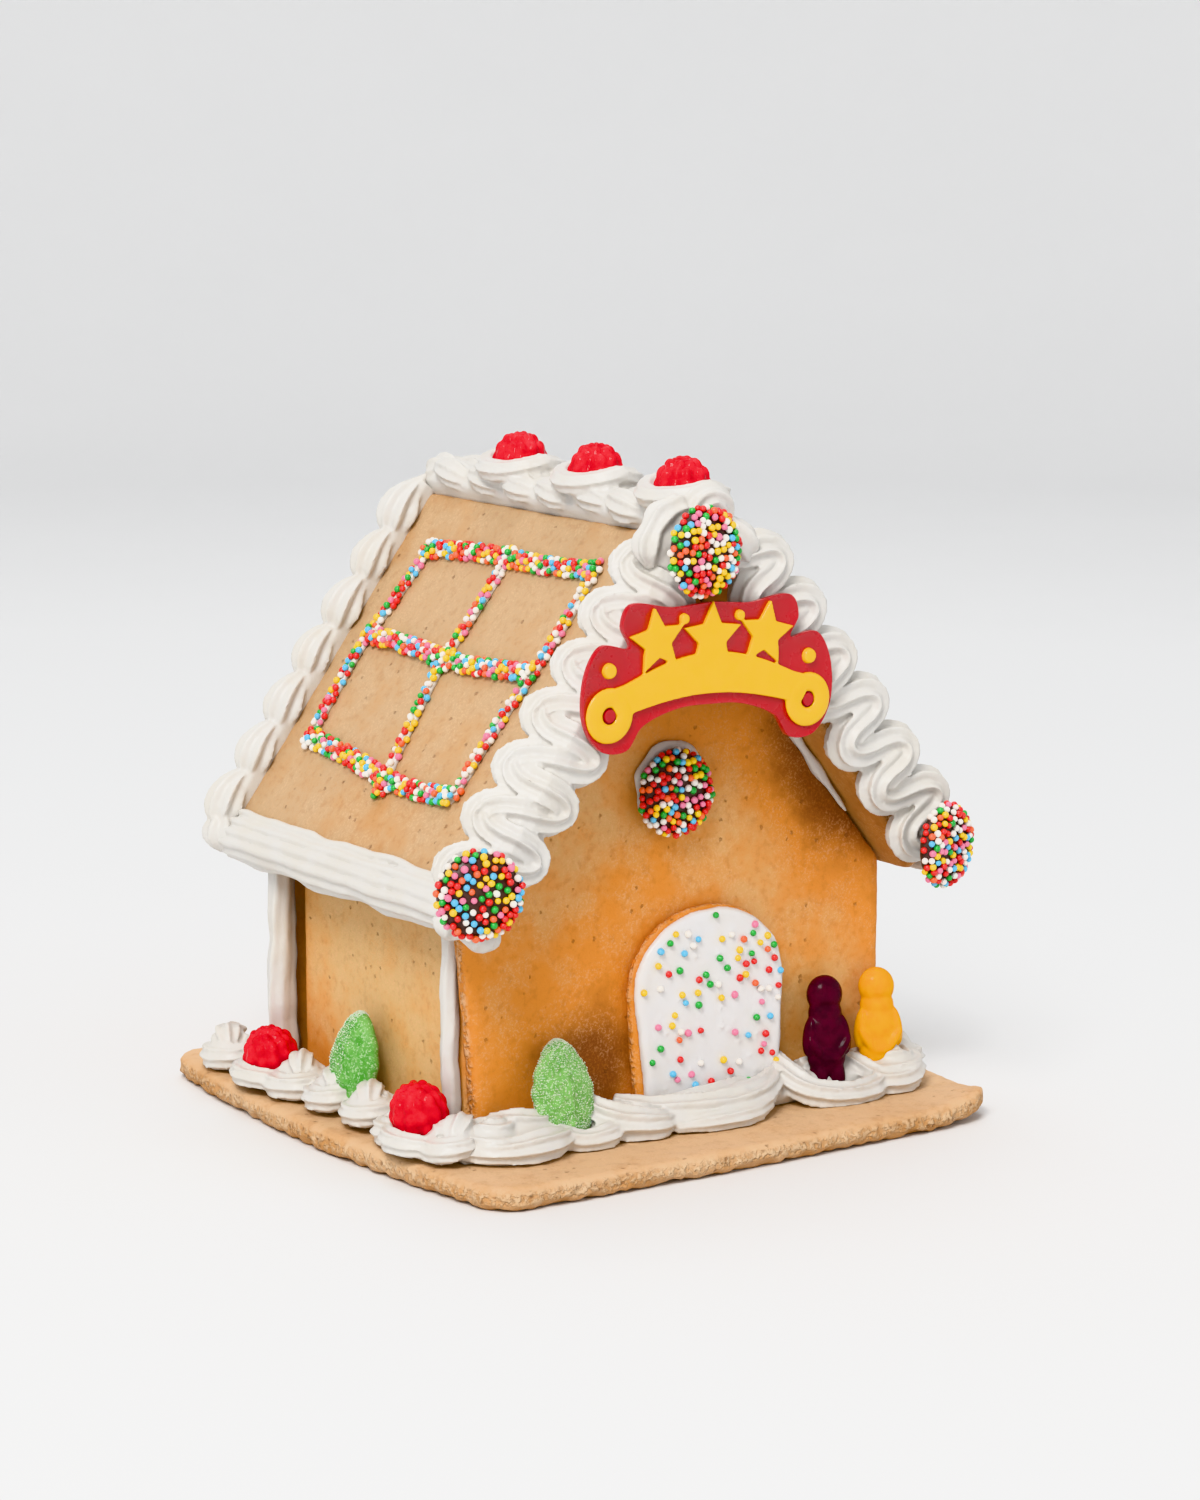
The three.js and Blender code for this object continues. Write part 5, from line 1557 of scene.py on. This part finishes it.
def leaf_body():
    """An upright leaf: a ball drawn to a point, notched at its edge, with ribs and veins in front."""
    bm = bmesh.new()
    made = bmesh.ops.create_uvsphere(bm, u_segments=88, v_segments=60, radius=1)
    for vert in made["verts"]:
        x, y, z = vert.co
        t = (z + 1) / 2
        taper = math.sin(math.pi * min(1, 0.11 + 0.89 * t)) ** 0.55 if t < 1 else 0
        round_off = max(1e-6, math.sqrt(max(0, 1 - z * z)))
        unit_x, unit_y = x / round_off, y / round_off
        notch = (1 + 0.028 * math.cos(z * 15)) * (1 - 0.14 * max(0, t - 0.55))
        width = 9.6 * taper * notch
        px = unit_x * width * MM
        pz = (0.3 + 28.0 * t) * MM
        across = min(1.0, abs(unit_x))
        body = 3.9 * (taper ** 0.7)
        depth = unit_y * body
        if unit_y < 0:
            rib = math.exp(-((px / MM) / 0.75) ** 2)
            lean_in = (pz / MM + abs(px / MM) * 0.75) / 4.6
            vein = max(0, math.cos(2 * math.pi * lean_in)) ** 4 * (1 - across**4)
            depth *= 1 + 0.16 * vein + 0.2 * rib * min(1, taper)
        vert.co = Vector((px, (depth - 4) * MM, pz))
    bmesh.ops.remove_doubles(bm, verts=bm.verts[:], dist=1e-6)
    return bm


class SetLeaves(bpy.types.Operator):
    """Mould the jelly leaves and roll them in sugar"""

    bl_idname = "gingerbread.set_leaves"
    bl_label = "Jelly leaves"

    def execute(self, context):
        pale = jelly_material("frosted_leaf_jelly", paint("84b868"), paint("699f4e"), 0.5, 0.5)
        deep = jelly_material("leaf_jelly", colours().leaf, paint("4c9438"), 0.36, 0.45)
        plans = [
            ("leaf_front", (-45.4, -60.4, 7.5), -0.22, 0.0, pale, 3200),
            ("leaf_left", (-75, -2.2, 7.6), -0.2, -1.43, deep, 2200),
            ("leaf_right", (75, -2.2, 7.6), -0.2, 1.43, deep, 1900),
        ]
        for k, (name, at, lean, yaw, look, count) in enumerate(plans):
            piece = make_object(name, leaf_body())
            turned = Matrix.Rotation(yaw, 4, "Z") @ Matrix.Rotation(lean, 4, "X")
            place_mesh(piece, Matrix.Translation(Vector(at) * MM) @ turned)
            finish_piece(piece, look, "green_jelly", name)
            behind = -3.5 * MM if k else -1.0
            crystals(f"{name}_sugar", piece, count, 150 + k, lambda p, n: p[2] > 12 * MM and p[1] > behind)
        return {"FINISHED"}


class SetFigures(bpy.types.Operator):
    """Mould the two jelly figures"""

    bl_idname = "gingerbread.set_figures"
    bl_label = "Jelly figures"

    def execute(self, context):
        plans = [
            ("purple", (45.9, -61.2, 8.1), -0.3, colours().purple, paint("3a0518"), 0.24),
            ("yellow", (64.6, -61.2, 7.9), -0.35, colours().yellow, paint("e69a00"), 0.3),
        ]
        blobs = [
            ((0, 0, 27.9), (5.3, 4.1, 5.6), 0),
            ((0, -0.1, 22.6), (5.0, 3.8, 4.6), 0),
            ((0, -0.2, 16.6), (6.5, 4.2, 7.6), 0),
            ((0, -0.4, 10.4), (5.7, 4.1, 6.4), 0),
            ((-5.2, -1.0, 16.2), (1.9, 2.6, 5.8), 0.14),
            ((5.2, -1.0, 16.2), (1.9, 2.6, 5.8), -0.14),
            ((-3.9, -3.1, 12.6), (1.5, 1.6, 4.4), -0.6),
            ((3.9, -3.1, 12.6), (1.5, 1.6, 4.4), 0.6),
            ((0, -3.7, 10.0), (3.0, 1.3, 1.5), 0),
            ((-2.6, -0.6, 4.6), (2.7, 3.4, 5.2), 0.03),
            ((2.6, -0.6, 4.6), (2.7, 3.4, 5.2), -0.03),
            ((0, -3.3, 27.0), (2.0, 1.0, 1.7), 0),
        ]
        for tone, at, yaw, body, depth, roughness in plans:
            name = f"figure_{tone}"
            bm = bmesh.new()
            for centre, radii, tip in blobs:
                spot_at = Matrix.Translation(Vector(centre) * MM) @ Matrix.Rotation(tip, 4, "Y")
                sized = Matrix.Diagonal((radii[0] * MM, radii[1] * MM, radii[2] * MM, 1))
                bmesh.ops.create_icosphere(bm, subdivisions=4, radius=1, matrix=spot_at @ sized)
            piece = fuse(make_object(name, bm), sizes().jelly_detail, 3)
            turned = Matrix.Rotation(yaw, 4, "Z") @ Matrix.Rotation(-0.1, 4, "X")
            place_mesh(piece, Matrix.Translation(Vector(at) * MM) @ turned)
            look = jelly_material(f"{name}_jelly", body, depth, roughness, 0.0, 0.1)
            finish_piece(piece, look, f"{tone}_jelly", name)
        return {"FINISHED"}


# ------------------------------------------------------------------ sign


def smooth_loop(points, per):
    """A rounded closed outline through the given points."""
    count = len(points)
    loop = []
    for i in range(count):
        a, b, c, d = (Vector(points[(i + k - 1) % count]) for k in range(4))
        for j in range(per):
            loop.append(spline(a, b, c, d, j / per))
    return [(p.x, p.y) for p in loop]


def star_outline(radius, x, z, turn):
    outline = []
    for i in range(10):
        r = radius * (1 if i % 2 == 0 else 0.48)
        a = math.radians(90 + turn + 36 * i)
        outline.append(((x + r * math.cos(a)) * MM, (z + r * math.sin(a)) * MM))
    return outline


def swash_outline():
    def upper(x):
        return -3 + 8.4 * math.cos(math.pi * x / 62)

    top = [(x * 5.5, upper(x * 5.5)) for x in range(-6, 7)]
    low = [(x * 5, upper(x * 5) - 7.8 - 3.4 * math.cos(math.pi * x / 12.4)) for x in range(6, -7, -1)]
    return smooth_loop([(x * MM, z * MM) for x, z in top + low], 5)


def mould_plate(stand):
    """The red plate, with a sunk face inside its rim and two bosses."""
    half = [(0, 19.2), (13, 18.4), (26, 20), (29.5, 14), (27, 8), (36, 9), (41, 1), (41.4, -11),
            (36, -19.4), (27.5, -20), (22, -13.5), (11, -9.6), (0, -9)]
    points = half + [(-x, z) for x, z in reversed(half[1:-1])]
    outline = smooth_loop([(x * MM * 0.99, z * MM * 0.985) for x, z in points], 8)
    bm = bmesh.new()
    slab(bm, outline, 2 * MM, 0)
    bm.normal_update()
    front = max(bm.faces, key=lambda f: f.calc_center_median().z)
    bmesh.ops.inset_region(bm, faces=[front], thickness=1.35 * MM, use_even_offset=True)
    bmesh.ops.translate(bm, vec=(0, 0, -0.6 * MM), verts=list(front.verts))
    hard = [e for e in bm.edges if len(e.link_faces) == 2 and e.calc_face_angle(0) > math.radians(35)]
    bmesh.ops.bevel(bm, geom=hard, offset=0.25 * MM, affect="EDGES", segments=3, profile=0.5, material=-1)
    for side in (LEFT, RIGHT):
        spin_dot(bm, side * 33, -9.8, 2.2, 2.3)
    piece = make_object("sign_plate", bm)
    place_mesh(piece, stand)
    red = plain_material("sign_red", colours().sign, 0.22, 0.4, 160, 0.03, 0.1, 0.95)
    finish_piece(piece, red, "red_plastic", "sign_plate")
    piece.data.set_sharp_from_angle(angle=math.radians(30))


def mould_motif(stand):
    """The raised yellow motif: a swash that ends in scrolls, three stars and dots."""
    bm = bmesh.new()
    stars = [star_outline(9.3, -18, 9.3, 8), star_outline(9.8, 0, 9.3, 0), star_outline(9.3, 18, 9.3, -8)]
    for outline in [swash_outline(), *stars]:
        slab(bm, outline, 1.5 * MM, 0)
    for side in (LEFT, RIGHT):
        scroll = [
            Vector((side * (33 + 4.9 * math.cos(a)), -9.8 + 4.9 * math.sin(a), 0.75)) * MM
            for a in (2 * math.pi * i / 30 for i in range(33))
        ]
        pipe(bm, strand(scroll, [2.7 * MM] * 33, up_axis(), 0.36), lobes=4, ridge=0)
        for x, z, size in ((9.2, 14.8, 1.6), (33.2, 2.2, 2.3)):
            spin_dot(bm, side * x, z, size, 1.6)
    piece = fuse(make_object("sign_motif", bm), 0.34 * MM, 3)
    place_mesh(piece, stand @ Matrix.Translation((0, 0, 1.15 * MM)))
    yellow = plain_material("sign_yellow", colours().sign_motif, 0.28, 0.3, 200, 0.03, 0.1, 0.95)
    finish_piece(piece, yellow, "yellow_plastic", "sign_motif")


class SetSign(bpy.types.Operator):
    """Mould the sign plate and its raised motif"""

    bl_idname = "gingerbread.set_sign"
    bl_label = "Sign"

    def execute(self, context):
        stand = (
            Matrix.Translation(Vector((-9.8, -78.4, 137.4)) * MM)
            @ Matrix.Rotation(math.radians(1.5), 4, "Y")
            @ Matrix.Rotation(math.pi / 2, 4, "X")
        )
        mould_plate(stand)
        mould_motif(stand)
        return {"FINISHED"}


def spin_dot(bm, x, z, radius, height):
    """A raised round boss on the sign."""
    at = Matrix.Translation((x * MM, z * MM, height * 0.5 * MM))
    bmesh.ops.create_cone(bm, cap_ends=True, segments=32, radius1=radius * MM, radius2=radius * 0.8 * MM,
                          depth=height * MM, matrix=at)


# ------------------------------------------------------------------ stage


CAMERA_AT = (-0.63622, -0.93932, 0.30964)
CAMERA_DOWN, CAMERA_RIGHT = math.radians(10.33), math.radians(34.49)
CAMERA_LENS = 95.99


def studio_sweep():
    """A floor that curves up into a round backdrop."""
    bm = bmesh.new()
    profile = [Vector((0, 0, 0)), Vector((0.7, 0, 0)), Vector((1.6, 0, 0))]
    for k in range(1, 13):
        a = math.pi / 2 * k / 12
        profile.append(Vector((1.6 + 0.8 * math.sin(a), 0, 0.8 - 0.8 * math.cos(a))))
    profile.append(Vector((2.4, 0, 1.3)))
    verts = [bm.verts.new(p) for p in profile]
    edges = [bm.edges.new(pair) for pair in zip(verts, verts[1:])]
    turn_profile(bm, verts + edges, 72, 1e-5)
    sweep = make_object("studio_sweep", bm)
    if sweep.data.polygons[0].normal.z < 0:
        sweep.data.flip_normals()
    sweep.data.shade_smooth()
    card = plain_material("studio_card", colours().floor, 0.9, 0.0, 4, 0.0, keep=0.99)
    sweep.data.materials.append(card)


def studio_lights(scene):
    """A dim sky, a key light from the left, a fill from the right and a soft light from above."""
    world = bpy.data.worlds.new("studio")
    world.use_nodes = True
    sky = world.node_tree.nodes["Background"]
    sky.inputs["Color"].default_value = (0.95, 0.97, 1.0, 1)
    sky.inputs["Strength"].default_value = 0.36
    scene.world = world

    for name, at, size, power, tint in (
        ("key", (-1.33, -1.1, 1.75), 0.9, 51, (1.0, 0.99, 0.975)),
        ("fill", (1.6, -1.5, 1.1), 1.8, 9, (0.95, 0.97, 1.0)),
        ("top", (0.2, 0.5, 2.2), 1.6, 22, (1.0, 1.0, 1.0)),
    ):
        lamp = bpy.data.lights.new(name, "AREA")
        lamp.shape, lamp.size, lamp.energy, lamp.color = "SQUARE", size, power, tint
        holder = bpy.data.objects.new(name, lamp)
        scene.collection.objects.link(holder)
        holder.location = at
        holder.rotation_euler = (Vector((0, 0, 0.08)) - Vector(at)).to_track_quat("-Z", "Y").to_euler()


def studio_camera(scene):
    camera = bpy.data.cameras.new("camera")
    camera.lens, camera.sensor_width = CAMERA_LENS, 36
    camera.clip_start, camera.clip_end = 0.05, 30
    holder = bpy.data.objects.new("camera", camera)
    scene.collection.objects.link(holder)
    holder.location = CAMERA_AT
    holder.rotation_euler = (math.pi / 2 - CAMERA_DOWN, 0, -CAMERA_RIGHT)
    scene.camera = holder


class SetStage(bpy.types.Operator):
    """Set the floor, the backdrop, the lights and the camera"""

    bl_idname = "gingerbread.set_stage"
    bl_label = "Stage"

    def execute(self, context):
        scene = context.scene
        studio_sweep()
        studio_lights(scene)
        studio_camera(scene)
        scene.view_settings.view_transform = "Khronos PBR Neutral"
        scene.view_settings.look = "None"
        return {"FINISHED"}


STEPS = [
    BakeBoard, BakeWalls, BakeRoof, BakeDoor,
    PipeGables, PipeVerges, PipeEaves, PipeRidge, PipePeak, PipeBase, PipeCorners,
    SprinkleWindows, SetFreckles, SprinkleDoor,
    SetBerries, SetLeaves, SetFigures, SetSign, SetStage,
]


class GingerbreadPanel(bpy.types.Panel):
    """Sidebar with every step of the gingerbread house"""

    bl_idname = "VIEW3D_PT_gingerbread"
    bl_label = "Gingerbread house"
    bl_space_type = "VIEW_3D"
    bl_region_type = "UI"
    bl_category = "Gingerbread"

    def draw(self, context):
        layout = self.layout
        for step in STEPS:
            layout.operator(step.bl_idname)
        for group in (context.scene.gingerbread_sizes, context.scene.gingerbread_colours):
            box = layout.box()
            for name in group.bl_rna.properties.keys():
                if name not in ("rna_type", "name"):
                    box.prop(group, name)


CLASSES = [GingerbreadSizes, GingerbreadColours, *STEPS, GingerbreadPanel]


def register():
    for cls in CLASSES:
        bpy.utils.register_class(cls)
    bpy.types.Scene.gingerbread_sizes = bpy.props.PointerProperty(type=GingerbreadSizes)
    bpy.types.Scene.gingerbread_colours = bpy.props.PointerProperty(type=GingerbreadColours)


def unregister():
    del bpy.types.Scene.gingerbread_colours
    del bpy.types.Scene.gingerbread_sizes
    for cls in reversed(CLASSES):
        bpy.utils.unregister_class(cls)


def main():
    register()
    for step in STEPS:
        area, action = step.bl_idname.split(".")
        getattr(getattr(bpy.ops, area), action)()


if __name__ == "__main__":
    main()
